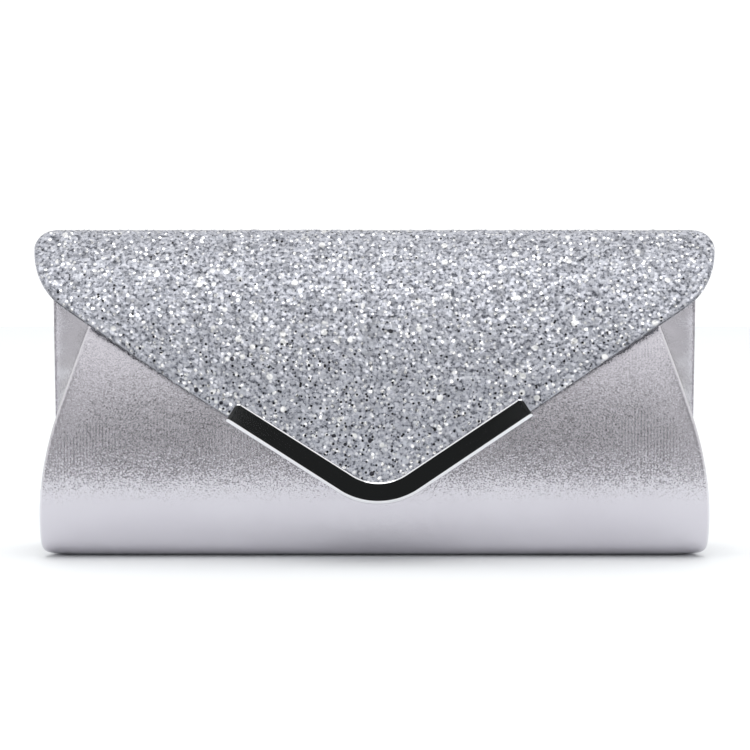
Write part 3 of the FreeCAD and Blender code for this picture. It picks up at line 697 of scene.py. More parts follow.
def satin_lining():
    """Woven satin with a fine diagonal twill."""
    material, tree, surface = new_material("satin_lining", (0.40, 0.40, 0.43))
    place = flat_millimetres(tree)
    turned = moved(tree, place, Rotation=(0, 0, math.radians(38)))
    twill = add(tree, "TexWave", {"Vector": turned, "Scale": 0.55, "Distortion": 0.6}).outputs["Fac"]
    height = calc(tree, "ADD", twill, noise(tree, place, 2.2))
    tint = mix_colour(tree, twill, (0.30, 0.30, 0.33, 1), (0.44, 0.44, 0.48, 1))
    normal = bump(tree, height, 0.35, 0.1 * MM)
    feed(tree, surface, Base_Color=tint, Metallic=0.0, Roughness=0.42, Sheen_Weight=0.5, Normal=normal)
    return material


def stiffener_board():
    material, tree, surface = new_material("stiffener_board", (0.55, 0.50, 0.42))
    fibre = noise(tree, object_place(tree), 900.0, 4.0)
    tint = mix_colour(tree, fibre, (0.48, 0.43, 0.35, 1), (0.62, 0.57, 0.48, 1))
    feed(tree, surface, Base_Color=tint, Roughness=0.85, Normal=bump(tree, fibre, 0.3, 0.1 * MM))
    return material


def sewing_thread():
    material, tree, surface = new_material("sewing_thread", (0.62, 0.61, 0.63))
    twist = {"Vector": object_place(tree), "Scale": 2500.0}
    twist = add(tree, "TexWave", twist, bands_direction="DIAGONAL").outputs["Fac"]
    tint = mix_colour(tree, twist, (0.50, 0.49, 0.51, 1), (0.70, 0.69, 0.71, 1))
    feed(tree, surface, Base_Color=tint, Roughness=0.5, Sheen_Weight=0.3)
    return material


def white_floor():
    material, tree, surface = new_material("white_floor", (0.9, 0.9, 0.9))
    cloud = noise(tree, object_place(tree), 3.0)
    tint = mix_colour(tree, cloud, (0.90, 0.92, 0.93, 1), (0.92, 0.94, 0.95, 1))
    feed(tree, surface, Base_Color=tint, Roughness=0.7, Specular_IOR_Level=0.2)
    return material


LEATHER = metallic_leather()
GLITTER = glitter_fabric()
CHROME = polished_metal("chrome_trim", (0.86, 0.86, 0.88), 0.03)
NICKEL = polished_metal("nickel", (0.78, 0.77, 0.75), 0.12)
STEEL = polished_metal("steel", (0.55, 0.55, 0.56), 0.3, 0.1)
MAGNET = polished_metal("magnet", (0.12, 0.12, 0.13), 0.55, 0.1)
LINING = satin_lining()
BOARD = stiffener_board()
THREAD = sewing_thread()


def dress(piece, material):
    """Give a new piece its material."""
    piece.data.materials.clear()
    piece.data.materials.append(material)


# ------------------------------------------------------------------ front and back skins

SKIN_COLUMNS = 121
WRAP_RADIUS = 2.2 * MM
WRAP_RETURN = 4.5 * MM
TURNED_EDGE = 0.6 * MM
FACING_INSET = 3.0 * MM
PILLOW = 0.7 * MM
PILLOW_REACH = 16.0 * MM


def wrapped_row(half, wrap):
    """Across places, depths and flat places of one row that turns in round both side edges."""
    radius = WRAP_RADIUS * wrap
    inner = half - radius
    flat = np.linspace(-inner, inner, SKIN_COLUMNS)
    turn = np.linspace(0, math.pi / 2, 7)[1:]
    edge_x = inner + radius * np.sin(turn)
    edge_depth = radius * (1 - np.cos(turn))
    back = np.linspace(0, WRAP_RETURN * wrap, 4)[1:]
    side_x = np.concatenate([edge_x, np.full(3, half)])
    side_depth = np.concatenate([edge_depth, radius + back])
    side_flat = np.concatenate([inner + radius * turn, inner + radius * math.pi / 2 + back])
    across = np.concatenate([-side_x[::-1], flat, side_x])
    depth = np.concatenate([side_depth[::-1], np.zeros(SKIN_COLUMNS), side_depth])
    flat_across = np.concatenate([-side_flat[::-1], flat, side_flat])
    return across, depth, flat_across


def add_skin_row(sheet, path, along, half, wrap, pillow, thickness):
    """One row of coated fabric, sunk by a pillow towards its turned side edges."""
    across, depth, flat_across = wrapped_row(half, wrap)
    near = np.clip((np.abs(across) - half + PILLOW_REACH) / PILLOW_REACH, 0, 1)
    depth = depth + pillow * near**2
    turned = np.clip((np.abs(across) - half + TURNED_EDGE) / TURNED_EDGE, 0, 1)
    inner_across = across - np.sign(across) * thickness * turned
    outer = place_row(path, along, across, depth)
    inner = place_row(path, along, inner_across, depth + thickness * (1 - 0.9 * turned))
    sheet.add(outer, inner, flat_across, along)
    return across


def front_skin():
    """One piece of coated fabric: facing inside the mouth, front panel, undercurve and base."""
    facing = np.linspace(0, facing_length, 14)[:-1]
    rim = np.linspace(facing_length, rim_end, 13)[:-1]
    alongs = np.concatenate([facing, rim, np.linspace(rim_end, front_path.length, 190)])
    sheet = Sheet()
    bright = []
    for along in alongs:
        inside = 1 - float(smooth_step(along, facing_length, rim_end))
        standing = float(smooth_step(along, rim_end, rim_end + 10 * MM))
        half = float(front_half(front_path.height_at(along))) - FACING_INSET * inside
        wrap = 1 - 0.98 * inside
        thickness = SKIN * (1 - 0.35 * inside)
        across = add_skin_row(sheet, front_path, along, half, wrap, PILLOW * standing, thickness)
        # Share of painted highlight along both turned side edges, where the folds catch the light.
        bright.append(smooth_step(np.abs(across), half - 1.5 * MM, half - 0.3 * MM) * standing)
    piece = sheet.mesh("front_skin")
    set_value(piece, "edge_highlight", np.concatenate(bright * 2))
    dress(piece, LEATHER)
    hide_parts("front_panel", "front_facing", "base_panel")
    sheet.declare(piece, "stretched", ["front_board_card", "base_board"])
    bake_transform(piece)


def back_skin():
    """The back panel's coated fabric, turned in round both side edges."""
    sheet = Sheet()
    for along in np.linspace(0, back_path.length, 90):
        add_skin_row(sheet, back_path, along, BODY_HALF, 0.6, 0.0, SKIN)
    piece = sheet.mesh("back_skin")
    dress(piece, LEATHER)
    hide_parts("back_panel")
    sheet.declare(piece, "stretched", ["back_board"])
    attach(piece, "body")


# ------------------------------------------------------------------ gussets

GUSSET_COLUMNS = 34
GUSSET_ROWS = 120
GUSSET_LINING = 0.5 * MM
GUSSET_FOLD = 4.5 * MM


def gusset_rows(side):
    """A soft side wall from inside the front skin's turned edge to the back panel's edge."""
    rows = []
    flats = []
    seam_depth = WRAP_RADIUS + WRAP_RETURN - 2.5 * MM
    alongs = np.linspace(rim_end + 0.5 * MM, front_path.length, 400)
    places, _ = front_path.at(alongs)
    stop = int(np.argmin(places[:, 1]))
    share = np.linspace(0, 1, GUSSET_COLUMNS)[:, None]
    for height in np.linspace(MOUTH_Z - 1.5 * MM, 3.0 * MM, GUSSET_ROWS):
        along = np.interp(-height, -places[:stop, 1], alongs[:stop])
        seam, _ = front_path.at([along], seam_depth)
        half = float(front_half(height)) - 1.0 * MM
        front_seam = np.array([half, seam[0, 0], max(seam[0, 1], 1.2 * MM)])
        back_seam = np.array([BODY_HALF - 0.25 * MM, PANEL_BACK - 3.6 * MM, front_seam[2]])
        fold = GUSSET_FOLD * float(smooth_step(height, 10 * MM, 100 * MM)) + 0.8 * MM
        middle = front_seam * 0.55 + back_seam * 0.45 - np.array([fold, -0.15 * fold, 0])
        curve = front_seam * (1 - share) ** 2 + 2 * middle * share * (1 - share) + back_seam * share**2
        steps = np.linalg.norm(np.diff(curve, axis=0), axis=1)
        lengths = np.concatenate([[0], np.cumsum(steps)])
        heights = np.full(GUSSET_COLUMNS, height)
        slack = np.sin(math.pi * share[:, 0]) ** 0.7
        crease = ripple(lengths * 0.25, heights, 9 * MM, 11 + side)
        sag = ripple(lengths, heights, 30 * MM, 23 + side)
        curve[:, 0] -= slack * ((crease - 0.5) * 0.9 * MM + (sag - 0.5) * 1.8 * MM)
        curve[:, 1] += slack * (crease - 0.5) * 0.5 * MM
        curve[:, 0] *= side
        rows.append(curve)
        flats.append(lengths)
    return np.array(rows), flats


def gusset(side, side_name):
    """The side wall's coated fabric and the lining inside it."""
    points, flats = gusset_rows(side)
    inwards = np.cross(np.gradient(points, axis=1), np.gradient(points, axis=0))
    inwards /= np.maximum(np.linalg.norm(inwards, axis=2, keepdims=True), 1e-12)
    inwards *= -side * np.sign(inwards[GUSSET_ROWS // 2, GUSSET_COLUMNS // 2, 0])
    heights = np.linspace(MOUTH_Z - 1.5 * MM, 3.0 * MM, GUSSET_ROWS)

    def layer(low, high):
        sheet = Sheet()
        for row, leaning, lengths, height in zip(points, inwards, flats, heights):
            sheet.add(row + leaning * low, row + leaning * high, lengths, height)
        return sheet

    sheet = layer(0.0, SKIN)
    fabric = sheet.mesh(f"gusset_{side_name}_skin")
    dress(fabric, LEATHER)
    across = np.tile(np.linspace(0, 1, GUSSET_COLUMNS), 2 * GUSSET_ROWS)
    set_value(fabric, "shaded", 1 - smooth_step(across, 0.84, 0.97))
    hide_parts(f"gusset_{side_name}")
    lining_face = SKIN + 0.1 * MM
    lining = layer(lining_face, lining_face + GUSSET_LINING).mesh(f"gusset_lining_{side_name}_skin")
    dress(lining, LINING)
    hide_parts(f"gusset_lining_{side_name}")
    for piece in (fabric, lining):
        sheet.declare(piece, "folded", ["front_board_card", "back_board"])
        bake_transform(piece)


# ------------------------------------------------------------------ linings and boards

LINING_SKIN = 0.5 * MM
FRONT_LINING_DEPTH = 1.9 * MM
BASE_LINING_DEPTH = 2.4 * MM
LINING_INSET = 2.9 * MM
LINING_HALF = back_lining_high.x
FACING_HALF = back_facing_high.x
FLAP_LINING_DEPTH = 1.98 * MM
FLAP_LINING_INSET = 1.5 * MM
BOARD_DEPTH = SKIN + 0.05 * MM
BOARD_THICKNESS = 0.95 * MM


def path_sheet(path, alongs, half_at, depth_at, thickness, columns, slack=0.0, seed=0, shape=np.array):
    """A sheet lying at a depth along a side profile, uneven by a slack away from its edges."""
    sheet = Sheet()
    for along in alongs:
        half = max(half_at(along), 0.05 * MM)
        across = np.linspace(-half, half, columns)
        held = smooth_step(half - np.abs(across), 0, 14 * MM)
        held = held * smooth_step(along - alongs[0], 0, 12 * MM)
        held = held * smooth_step(alongs[-1] - along, 0, 12 * MM)
        depth = depth_at(across, along) + slack * held * ripple(across, along, 42 * MM, seed)
        outer = shape(place_row(path, along, across, depth))
        sheet.add(outer, shape(place_row(path, along, across, depth + thickness)), across, along)
    return sheet


def flap_lining():
    """The satin inside the flap and over the spine, a little smaller than the glitter all round."""
    start = spine_lining_low_z - STRIP_BOTTOM
    end = flap_path.length - (FLAP_TIP_Z + FLAP_LINING_INSET - flat_end[1]) / cos(TIP_LEAN)

    def half_at(along):
        side = flap_row_half(along) - FLAP_LINING_INSET
        if along < flap_front_start:
            return side
        raised = flap_path.height_at(along) - FLAP_LINING_INSET / cos(FLAP_SLOPE)
        return min(side, float(flap_half(max(raised, FLAP_TIP_Z))))

    def depth_at(across, along):
        return FLAP_LINING_DEPTH

    alongs = np.linspace(start, end, 150)
    sheet = path_sheet(flap_path, alongs, half_at, depth_at, LINING_SKIN, 101, shape=settle)
    piece = sheet.mesh("flap_lining_skin")
    dress(piece, LINING)
    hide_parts("flap_lining", "spine_lining")
    sheet.declare(piece, "stretched", ["flap_glitter"])
    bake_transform(piece)


def front_lining():
    """The satin down the inside of the front and across the base."""
    top = front_path.along_at_height(facing_low_z + 0.4 * MM, rim_end, front_path.length * 0.6)
    base_start = front_path.along_at_height(2 * MM, rim_end, front_path.length * 0.75)

    def half_at(along):
        height = max(front_path.height_at(along), 5 * MM)
        return min(float(front_half(height)) - LINING_INSET, LINING_HALF)

    def depth_at(across, along):
        share = float(smooth_step(along, base_start - 8 * MM, base_start + 4 * MM))
        return FRONT_LINING_DEPTH + share * (BASE_LINING_DEPTH - FRONT_LINING_DEPTH)

    alongs = np.linspace(top, front_path.length, 150)
    sheet = path_sheet(front_path, alongs, half_at, depth_at, LINING_SKIN, 101, 0.5 * MM, 2)
    piece = sheet.mesh("front_lining_skin")
    dress(piece, LINING)
    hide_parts("front_lining", "base_lining")
    sheet.declare(piece, "stretched", ["front_board_card", "base_board"])
    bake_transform(piece)


def front_board():
    """The card stiffener inside the front, stopping below the rolled rim."""
    top = front_path.along_at_height(MOUTH_Z - 1.6 * MM, rim_end, front_path.length * 0.6)
    low = front_path.along_at_height(board_low_z + 1 * MM, rim_end, front_path.length * 0.75)

    def half_at(along):
        return float(front_half(front_path.height_at(along))) - LINING_INSET

    def depth_at(across, along):
        return BOARD_DEPTH

    alongs = np.linspace(top, low, 80)
    piece = path_sheet(front_path, alongs, half_at, depth_at, BOARD_THICKNESS, 61).mesh("front_board_card")
    dress(piece, BOARD)
    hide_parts("front_board")
    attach(piece, "front")


def back_lining():
    """The satin on the inside of the back panel."""
    face = back_lining_high.y
    path = Path().line((face, back_lining_low.z), (face, back_lining_high.z), 0).done()

    def half_at(along):
        return LINING_HALF

    def depth_at(across, along):
        return 0.0

    alongs = np.linspace(0, path.length, 90)
    sheet = path_sheet(path, alongs, half_at, depth_at, LINING_SKIN, 101, 0.3 * MM, 3)
    piece = sheet.mesh("back_lining_skin")
    dress(piece, LINING)
    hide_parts("back_lining")
    sheet.declare(piece, "stretched", ["back_board"])
    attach(piece, "body")


def back_facing():
    """The strip of coated fabric inside the mouth at the back, its lower edge folded under."""
    fold = 0.35 * MM
    fold_y = back_lining_low.y - fold
    fold_z = back_facing_low.z + fold
    path = Path().arc((fold_y, fold_z), fold, 360, 180, side=-1)
    path.line((fold_y - fold, fold_z), (fold_y - fold, BACK_TOP), 0).done()

    def half_at(along):
        return FACING_HALF

    def depth_at(across, along):
        return -0.3 * MM * smooth_step(along, 0, 1 * MM)

    alongs = np.concatenate([path.lengths[:8], path.lengths[8::4]])
    sheet = path_sheet(path, alongs, half_at, depth_at, 0.3 * MM, 101)
    piece = sheet.mesh("back_facing_skin")
    dress(piece, LEATHER)
    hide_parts("back_facing")
    sheet.declare(piece, "stretched", ["back_lining_skin"])
    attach(piece, "body")


# ------------------------------------------------------------------ pocket

POCKET_HALF = pocket_high.x
POCKET_SLACK = 2.4 * MM
BINDING_HALF = 0.55 * MM
BINDING_GAP = 0.25 * MM
BINDING_COLUMNS = 91
STITCH_PITCH = 3.2 * MM
STITCH_LENGTH = 2.3 * MM
STITCH_RADIUS = 0.17 * MM


def pocket_depth(across, rise):
    """How far the pocket stands off the back lining: slack in the middle of its mouth."""
    bow = (1 - (across / POCKET_HALF) ** 2) ** 1.5
    return POCKET_SLACK * bow * smooth_step(rise, 0, pocket_high.z - pocket_low.z)


def slip_pocket():
    """A satin pocket sewn down on three sides."""
    face = pocket_high.y
    path = Path().line((face, pocket_low.z), (face, pocket_high.z), 0).done()

    def half_at(along):
        return POCKET_HALF

    alongs = np.linspace(0, path.length, 60)
    sheet = path_sheet(path, alongs, half_at, pocket_depth, LINING_SKIN, 61, 0.5 * MM, 5)
    piece = sheet.mesh("slip_pocket_skin")
    dress(piece, LINING)
    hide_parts("slip_pocket")
    sheet.declare(piece, "hung", ["back_lining_skin"])
    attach(piece, "body")


def pocket_binding():
    """The coated fabric folded over the pocket's mouth."""
    rise = pocket_high.z - binding_low_z
    turn = np.linspace(0, math.pi, 13)[1:-1]
    down = np.linspace(rise - BINDING_HALF, 0, 9)
    loop = [(BINDING_HALF, z) for z in down[::-1]]
    loop += [(BINDING_HALF * math.cos(t), down[0] + BINDING_HALF * math.sin(t)) for t in turn]
    loop += [(-BINDING_HALF, z) for z in down]
    lengths = np.concatenate([[0], np.cumsum(np.linalg.norm(np.diff(loop, axis=0), axis=1))])
    across = np.linspace(-POCKET_HALF - 0.3 * MM, POCKET_HALF + 0.3 * MM, BINDING_COLUMNS)
    sheet = Sheet()
    for (aside, up), length in zip(loop, lengths):
        height = binding_low_z + up
        stand = pocket_depth(np.clip(across, -POCKET_HALF, POCKET_HALF), height - pocket_low.z)
        middle = pocket_high.y - LINING_SKIN / 2 - stand - BINDING_GAP
        inner_height = height - BINDING_GAP if rise - up < BINDING_HALF else height
        outer = np.column_stack([across, middle + aside, np.full(BINDING_COLUMNS, height)])
        inner = np.column_stack([across, middle + aside * 0.55, np.full(BINDING_COLUMNS, inner_height)])
        sheet.add(outer, inner, across, length)
    binding = sheet.mesh("slip_pocket_binding_skin")
    dress(binding, LEATHER)
    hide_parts("slip_pocket_binding")
    sheet.declare(binding, "folded", ["slip_pocket_skin"])
    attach(binding, "body")


def pocket_stitches():
    """A row of thread stitches, each a short bent cord dipping into the binding at its ends."""
    sides = 6
    bends = 7
    turn = np.linspace(0, 2 * math.pi, sides, endpoint=False)
    rounds = np.column_stack([np.zeros(sides), np.cos(turn), np.sin(turn)]) * STITCH_RADIUS
    lift = 0.16 * MM * np.sin(np.linspace(0, math.pi, bends)) - 0.08 * MM
    height = binding_low_z + 1.2 * MM
    face = pocket_high.y - LINING_SKIN / 2 - BINDING_GAP - BINDING_HALF
    points = []
    faces = []
    for start_x in np.arange(-POCKET_HALF + 2 * MM, POCKET_HALF - 2 * MM, STITCH_PITCH):
        start = len(points)
        run = start_x + np.linspace(0, STITCH_LENGTH, bends)
        depth = face - pocket_depth(run, height - pocket_low.z) - lift
        for place in np.column_stack([run, depth, np.full(bends, height)]):
            points.extend(place + rounds)
        faces += ring_faces(bends, sides, start) + end_faces(bends, sides, start)
    piece = new_object("pocket_stitches", points, faces)
    turn_outwards(piece)
    dress(piece, THREAD)
    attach(piece, "body")


# ------------------------------------------------------------------ rings and tabs

TAB_HALF = 4.0 * MM
TAB_PLY = 0.6 * MM
TAB_LOOP = 1.9 * MM
TAB_TAIL = 1.2 * MM
TAB_EDGE = 0.22 * MM
RING_HALF = 6.0 * MM
RING_WIRE = 0.8 * MM
RING_CORNER = 1.6 * MM
RING_SIDE = 2.0 * MM


def ring_tab(side_name):
    """A folded strap hung from the back facing, its loop round the ring's bar."""
    node = f"ring_tab_{side_name}"
    low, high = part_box(node)
    middle = (low.x + high.x) / 2
    centre = (high.y - TAB_LOOP, low.z + TAB_LOOP)
    meet = math.degrees(math.acos((TAB_LOOP - TAB_TAIL) / TAB_LOOP))
    meet_z = centre[1] + TAB_LOOP * sin(meet)
    front = high.y - TAB_TAIL
    path = (
        Path()
        .line((high.y, high.z), (high.y, centre[1]), 0)
        .arc(centre, TAB_LOOP, 360, meet)
        .line((front, meet_z), (front, high.z), 180)
        .done()
    )
    across = np.linspace(-TAB_HALF + TAB_EDGE, TAB_HALF - TAB_EDGE, 13)
    across = np.concatenate([[-TAB_HALF], across, [TAB_HALF]])
    pinch = np.concatenate([[TAB_EDGE], np.zeros(13), [TAB_EDGE]])
    sheet = Sheet()
    for along in path.lengths[np.linspace(0, len(path.lengths) - 1, 90).astype(int)]:
        outer = place_row(path, along, across, pinch) + [middle, 0, 0]
        inner = place_row(path, along, across, TAB_PLY - pinch * 0.5) + [middle, 0, 0]
        sheet.add(outer, inner, across, along)
    piece = sheet.mesh(f"{node}_strap")
    dress(piece, LEATHER)
    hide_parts(node)
    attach(piece, "body")


def d_ring(side_name):
    """A D of round wire hanging from its straight bar."""
    node = f"d_ring_{side_name}"
    low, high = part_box(node)
    middle = (low.x + high.x) / 2
    y = (low.y + high.y) / 2
    top = high.z - RING_WIRE
    corner_x = RING_HALF - RING_CORNER
    corner_z = top - RING_CORNER
    centre_z = corner_z - RING_SIDE
    bar = [(x, top) for x in np.linspace(-corner_x, corner_x, 8)]
    turn = np.linspace(90, 0, 8)[1:]
    right = [(corner_x + RING_CORNER * cos(t), corner_z + RING_CORNER * sin(t)) for t in turn]
    bow = [(RING_HALF * cos(t), centre_z + RING_HALF * sin(t)) for t in np.linspace(0, -180, 33)]
    left = [(-x, z) for x, z in right[::-1]]
    line = [(middle + x, y, z) for x, z in bar + right + bow + left]
    piece = ring_of_wire(f"{node}_wire", line, RING_WIRE)
    dress(piece, NICKEL)
    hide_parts(node)
    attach(piece, f"ring_{side_name}")


# ------------------------------------------------------------------ snap

SNAP_Z = 40.0 * MM
# Radius and height of each turned part's outline, in millimetres.
STUD_OUTLINE = [
    (0, -0.3), (2.2, -0.3), (2.2, 0.0), (6.9, 0.0), (7.0, 0.08), (7.0, 0.34), (6.85, 0.47), (6.6, 0.5),
    (5.5, 0.5), (5.3, 0.42), (5.0, 0.42), (4.8, 0.5), (3.75, 0.5), (3.5, 0.56), (3.4, 0.7), (3.4, 1.55),
    (3.3, 1.75), (3.05, 1.88), (2.7, 1.9), (1.3, 1.9), (1.1, 1.8), (0, 1.78),
]
SOCKET_OUTLINE = [
    (0, -0.5), (2.2, -0.5), (2.2, 0.0), (6.9, 0.03), (7.0, 0.12), (7.0, 1.05), (6.9, 1.28), (6.65, 1.4),
    (5.9, 1.4), (5.75, 1.33), (5.5, 1.33), (5.35, 1.4), (4.25, 1.4), (3.95, 1.3), (3.8, 1.1), (3.8, 0.5),
    (3.7, 0.42), (3.4, 0.4), (0, 0.4),
]


def snap():
    """The magnetic snap: a stud under the flap's point and a socket on the front panel."""
    tip_y = flat_start[0] - (FLAT_HEIGHT - SNAP_Z) * tan(TIP_LEAN)
    stud_y = tip_y + (FLAP_THICKNESS + 0.02 * MM) / cos(TIP_LEAN)
    stud_axis = (0, cos(TIP_LEAN), -sin(TIP_LEAN))
    stud = lathe("snap_stud_turned", np.array(STUD_OUTLINE) * MM, (0, stud_y, SNAP_Z), stud_axis)
    dress(stud, NICKEL)
    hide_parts("snap_stud")
    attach(stud, "flap")

    along = front_path.along_at_height(SNAP_Z, rim_end, front_path.length * 0.6)
    place, normal = front_path.at([along])
    socket = lathe("snap_socket_turned", np.array(SOCKET_OUTLINE) * MM, (0, *place[0]), (0, *normal[0]))
    dress(socket, NICKEL)
    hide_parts("snap_socket")
    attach(socket, "front")


# ------------------------------------------------------------------ glitter flap

# The flap's point lies a little to the right and turned, as the soft flap settles.
SETTLE_SHIFT = 1.8 * MM
SETTLE_TURN = 1.0
GLITTER_STEP = 0.66 * MM
GLITTER_JITTER = 0.28
GLITTER_ROUND = 1.1 * MM
GLITTER_INNER_STEP = 6.0 * MM
COVER_THICKNESS = 1.9 * MM
FLAKE = 1.25 * MM
FLAKE_HEIGHT = 0.16 * MM
FLAKE_TILT = 0.22
FLAKE_LIMIT = 0.3 * MM
LOWER_EDGE_Z = 100.0 * MM


def flap_row_half(along):
    """Half width of the glitter piece at a length along its path, from the back strip to the tip."""
    spot, normal = flap_path.at([along])
    height = float(spot[0, 1])
    if normal[0, 0] >= 0:
        share = (height - STRIP_BOTTOM) / (spine_z - 3 * MM - STRIP_BOTTOM)
        straight = STRIP_LOW_HALF + (FLAP_HALF - STRIP_LOW_HALF) * min(1, max(0, share))
        return min(straight, float(flap_half(height)) if height > spine_z else straight)
    return float(flap_half(height))


def settle(points):
    """Move points of the flap's lower part aside and turn them a little."""
    points = np.array(points, float)
    share = 1 - smooth_step(points[..., 2], trim_high.z + 1 * MM, trim_high.z + 34 * MM)
    share = share * (points[..., 1] < spine_y - SPINE_RADIUS * 0.5)
    across = points[..., 0].copy()
    points[..., 0] += share * SETTLE_SHIFT
    points[..., 2] += share * across * tan(SETTLE_TURN)
    return points


def glitter_alongs():
    """Lengths of the glitter's rows, closer together as they near the rounded point."""
    end = flap_path.length - (FLAP_TIP_Z - flat_end[1]) / cos(TIP_LEAN)
    alongs = [0.0]
    while alongs[-1] < end:
        gap = end - alongs[-1]
        step = max(0.05 * MM, min(GLITTER_STEP * 0.87, gap * 0.35))
        alongs.append(alongs[-1] + step if gap > 0.06 * MM else end)
    return alongs


def even_rows(halves, step):
    """Across places of rows, about a step apart."""
    return [np.linspace(-half, half, max(2, int(round(2 * half / step)) + 1)) for half in halves]


def flat_places(rows, alongs):
    return np.concatenate([np.column_stack([x, np.full(len(x), along)]) for x, along in zip(rows, alongs)])


def numbered(rows, number):
    """The vertex numbers of rows, counted from a number."""
    numbers = []
    for row in rows:
        numbers.append(list(range(number, number + len(row))))
        number += len(row)
    return numbers


def search_tree(places):
    tree = kdtree.KDTree(len(places))
    for number, (x, along) in enumerate(places):
        tree.insert((x, along, 0), number)
    tree.balance()
    return tree


def flake_relief(random, flat):
    """Heights of flat places: each belongs to its nearest flake, which has a height and a tilt."""
    low = flat.min(0)
    high = flat.max(0)
    count = int((high - low).prod() / (FLAKE * FLAKE * 0.8))
    centres = random.uniform(low, high, (count, 2))
    heights = random.uniform(-0.5, 0.5, count)
    tilts = random.normal(0, FLAKE_TILT, (count, 2))
    tree = search_tree(centres)
    nearest = np.array([tree.find((x, along, 0))[1] for x, along in flat])
    relief = heights[nearest] * FLAKE_HEIGHT + ((flat - centres[nearest]) * tilts[nearest]).sum(1)
    return np.clip(relief, -FLAKE_LIMIT, FLAKE_LIMIT)


def glitter_flap():
    """The glitter fabric in one piece: strip down the back, over the spine and down to the tip."""
    random = np.random.default_rng(5)
    alongs = glitter_alongs()
    halves = [max(flap_row_half(along), 0.02 * MM) for along in alongs]
    outer = even_rows(halves, GLITTER_STEP)
    inner = even_rows(halves, GLITTER_INNER_STEP)

    outline = [(side * half, along) for side in (-1, 1) for half, along in zip(halves, alongs)]
    outline += [(x, alongs[0]) for x in outer[0]]
    tree = search_tree(outline)
    flat = flat_places(outer, alongs)
    jitter = random.uniform(-GLITTER_JITTER, GLITTER_JITTER, flat.shape) * GLITTER_STEP
    edge_gap = np.array([tree.find((x, along, 0))[2] for x, along in flat])
    jitter *= (edge_gap > GLITTER_STEP)[:, None]
    flat += jitter

    gap = np.clip(GLITTER_ROUND - edge_gap, 0, GLITTER_ROUND)
    rounding = GLITTER_ROUND - np.sqrt(GLITTER_ROUND**2 - gap**2)
    relief = flake_relief(random, flat) * smooth_step(edge_gap, 0.2 * MM, 1.6 * MM)
    spot, _ = flap_path.at(flat[:, 1], rounding - relief)
    outer_points = np.column_stack([flat[:, 0], spot])
    inner_flat = flat_places(inner, alongs)
    inner_spot, _ = flap_path.at(inner_flat[:, 1], COVER_THICKNESS)
    inner_points = np.column_stack([inner_flat[:, 0], inner_spot])

    outer_rows = numbered(outer, 0)
    inner_rows = numbered(inner, len(flat))
    faces = []
    for first, second in zip(outer_rows[:-1], outer_rows[1:]):
        faces += [face[::-1] for face in zipper_faces(first, second)]
    for first, second in zip(inner_rows[:-1], inner_rows[1:]):
        faces += zipper_faces(first, second)
    for k in range(len(alongs) - 1):
        faces.append((outer_rows[k][0], outer_rows[k + 1][0], inner_rows[k + 1][0], inner_rows[k][0]))
        faces.append((outer_rows[k][-1], inner_rows[k][-1], inner_rows[k + 1][-1], outer_rows[k + 1][-1]))
    faces += zipper_faces(outer_rows[0], inner_rows[0])
    faces += [face[::-1] for face in zipper_faces(outer_rows[-1], inner_rows[-1])]

    piece = new_object("flap_glitter", settle(np.concatenate([outer_points, inner_points])), faces)
    set_uv(piece, np.concatenate([flat, inner_flat]))
    rim = 1 - smooth_step(edge_gap, 0.25 * MM, 0.9 * MM)
    set_value(piece, "rim", np.concatenate([rim, np.ones(len(inner_flat))]))
    # Where the painted shadow along the flap's lower front edges goes.
    lower_front = (flat[:, 1] > flap_front_start) & (spot[:, 1] < LOWER_EDGE_Z)
    edge_shadow = (1 - smooth_step(edge_gap, 0.1 * MM, 0.6 * MM)) * lower_front
    set_value(piece, "edge_shadow", np.concatenate([edge_shadow, np.zeros(len(inner_flat))]))
    dress(piece, GLITTER)
    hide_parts("flap_cover", "spine_cover", "flap_board")
    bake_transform(piece)


# ------------------------------------------------------------------ trim

TRIM_FACE = 1.1 * MM
TRIM_REAR = FLAP_THICKNESS + 0.85 * MM
TRIM_CHANNEL = FLAP_THICKNESS + 0.05 * MM
TRIM_WALL = 1.2 * MM
TRIM_CORNER = 1.8 * MM
# The channel's section: across from its outer edge, and depth behind the flap's face.
TRIM_SECTION = [
    (0.0, 0.15 * MM),
    (0.12 * MM, -0.10 * MM),
    (1.02 * MM, -TRIM_FACE + 0.10 * MM),
    (1.14 * MM, -TRIM_FACE + 0.02 * MM),
    (1.24 * MM, -TRIM_FACE),
    (1.36 * MM, -TRIM_FACE),
    (TRIM_WIDTH - 0.75 * MM, -TRIM_FACE),
    (TRIM_WIDTH - 0.62 * MM, -TRIM_FACE),
    (TRIM_WIDTH - 0.20 * MM, -TRIM_FACE + 0.22 * MM),
    (TRIM_WIDTH - 0.05 * MM, -TRIM_FACE + 0.42 * MM),
    (TRIM_WIDTH, -0.45 * MM),
    (TRIM_WIDTH, -0.02 * MM),
    (TRIM_WALL, -0.02 * MM),
    (TRIM_WALL, TRIM_CHANNEL),
    (TRIM_WIDTH, TRIM_CHANNEL),
    (TRIM_WIDTH, TRIM_REAR - 0.15 * MM),
    (TRIM_WIDTH - 0.2 * MM, TRIM_REAR),
    (0.4 * MM, TRIM_REAR),
    (0.0, TRIM_REAR - 0.4 * MM),
]


def rounded_v(sharp_z, rounding, half_span):
    """Half of the trim's rounded V in front view, from the middle to the arm's end: x and z."""
    turn_x = rounding * sin(TRIM_SLOPE)
    turn_z = sharp_z + turn_x * tan(TRIM_SLOPE)
    end_z = sharp_z + half_span * tan(TRIM_SLOPE)
    centre = sharp_z + rounding / cos(TRIM_SLOPE)
    arc = np.linspace(0, math.radians(TRIM_SLOPE), 24)
    arm = np.linspace(0, 1, 40)[1:]
    x = np.concatenate([rounding * np.sin(arc), turn_x + (half_span - turn_x) * arm])
    z = np.concatenate([centre - rounding * np.cos(arc), turn_z + (end_z - turn_z) * arm])
    return np.column_stack([x, z])


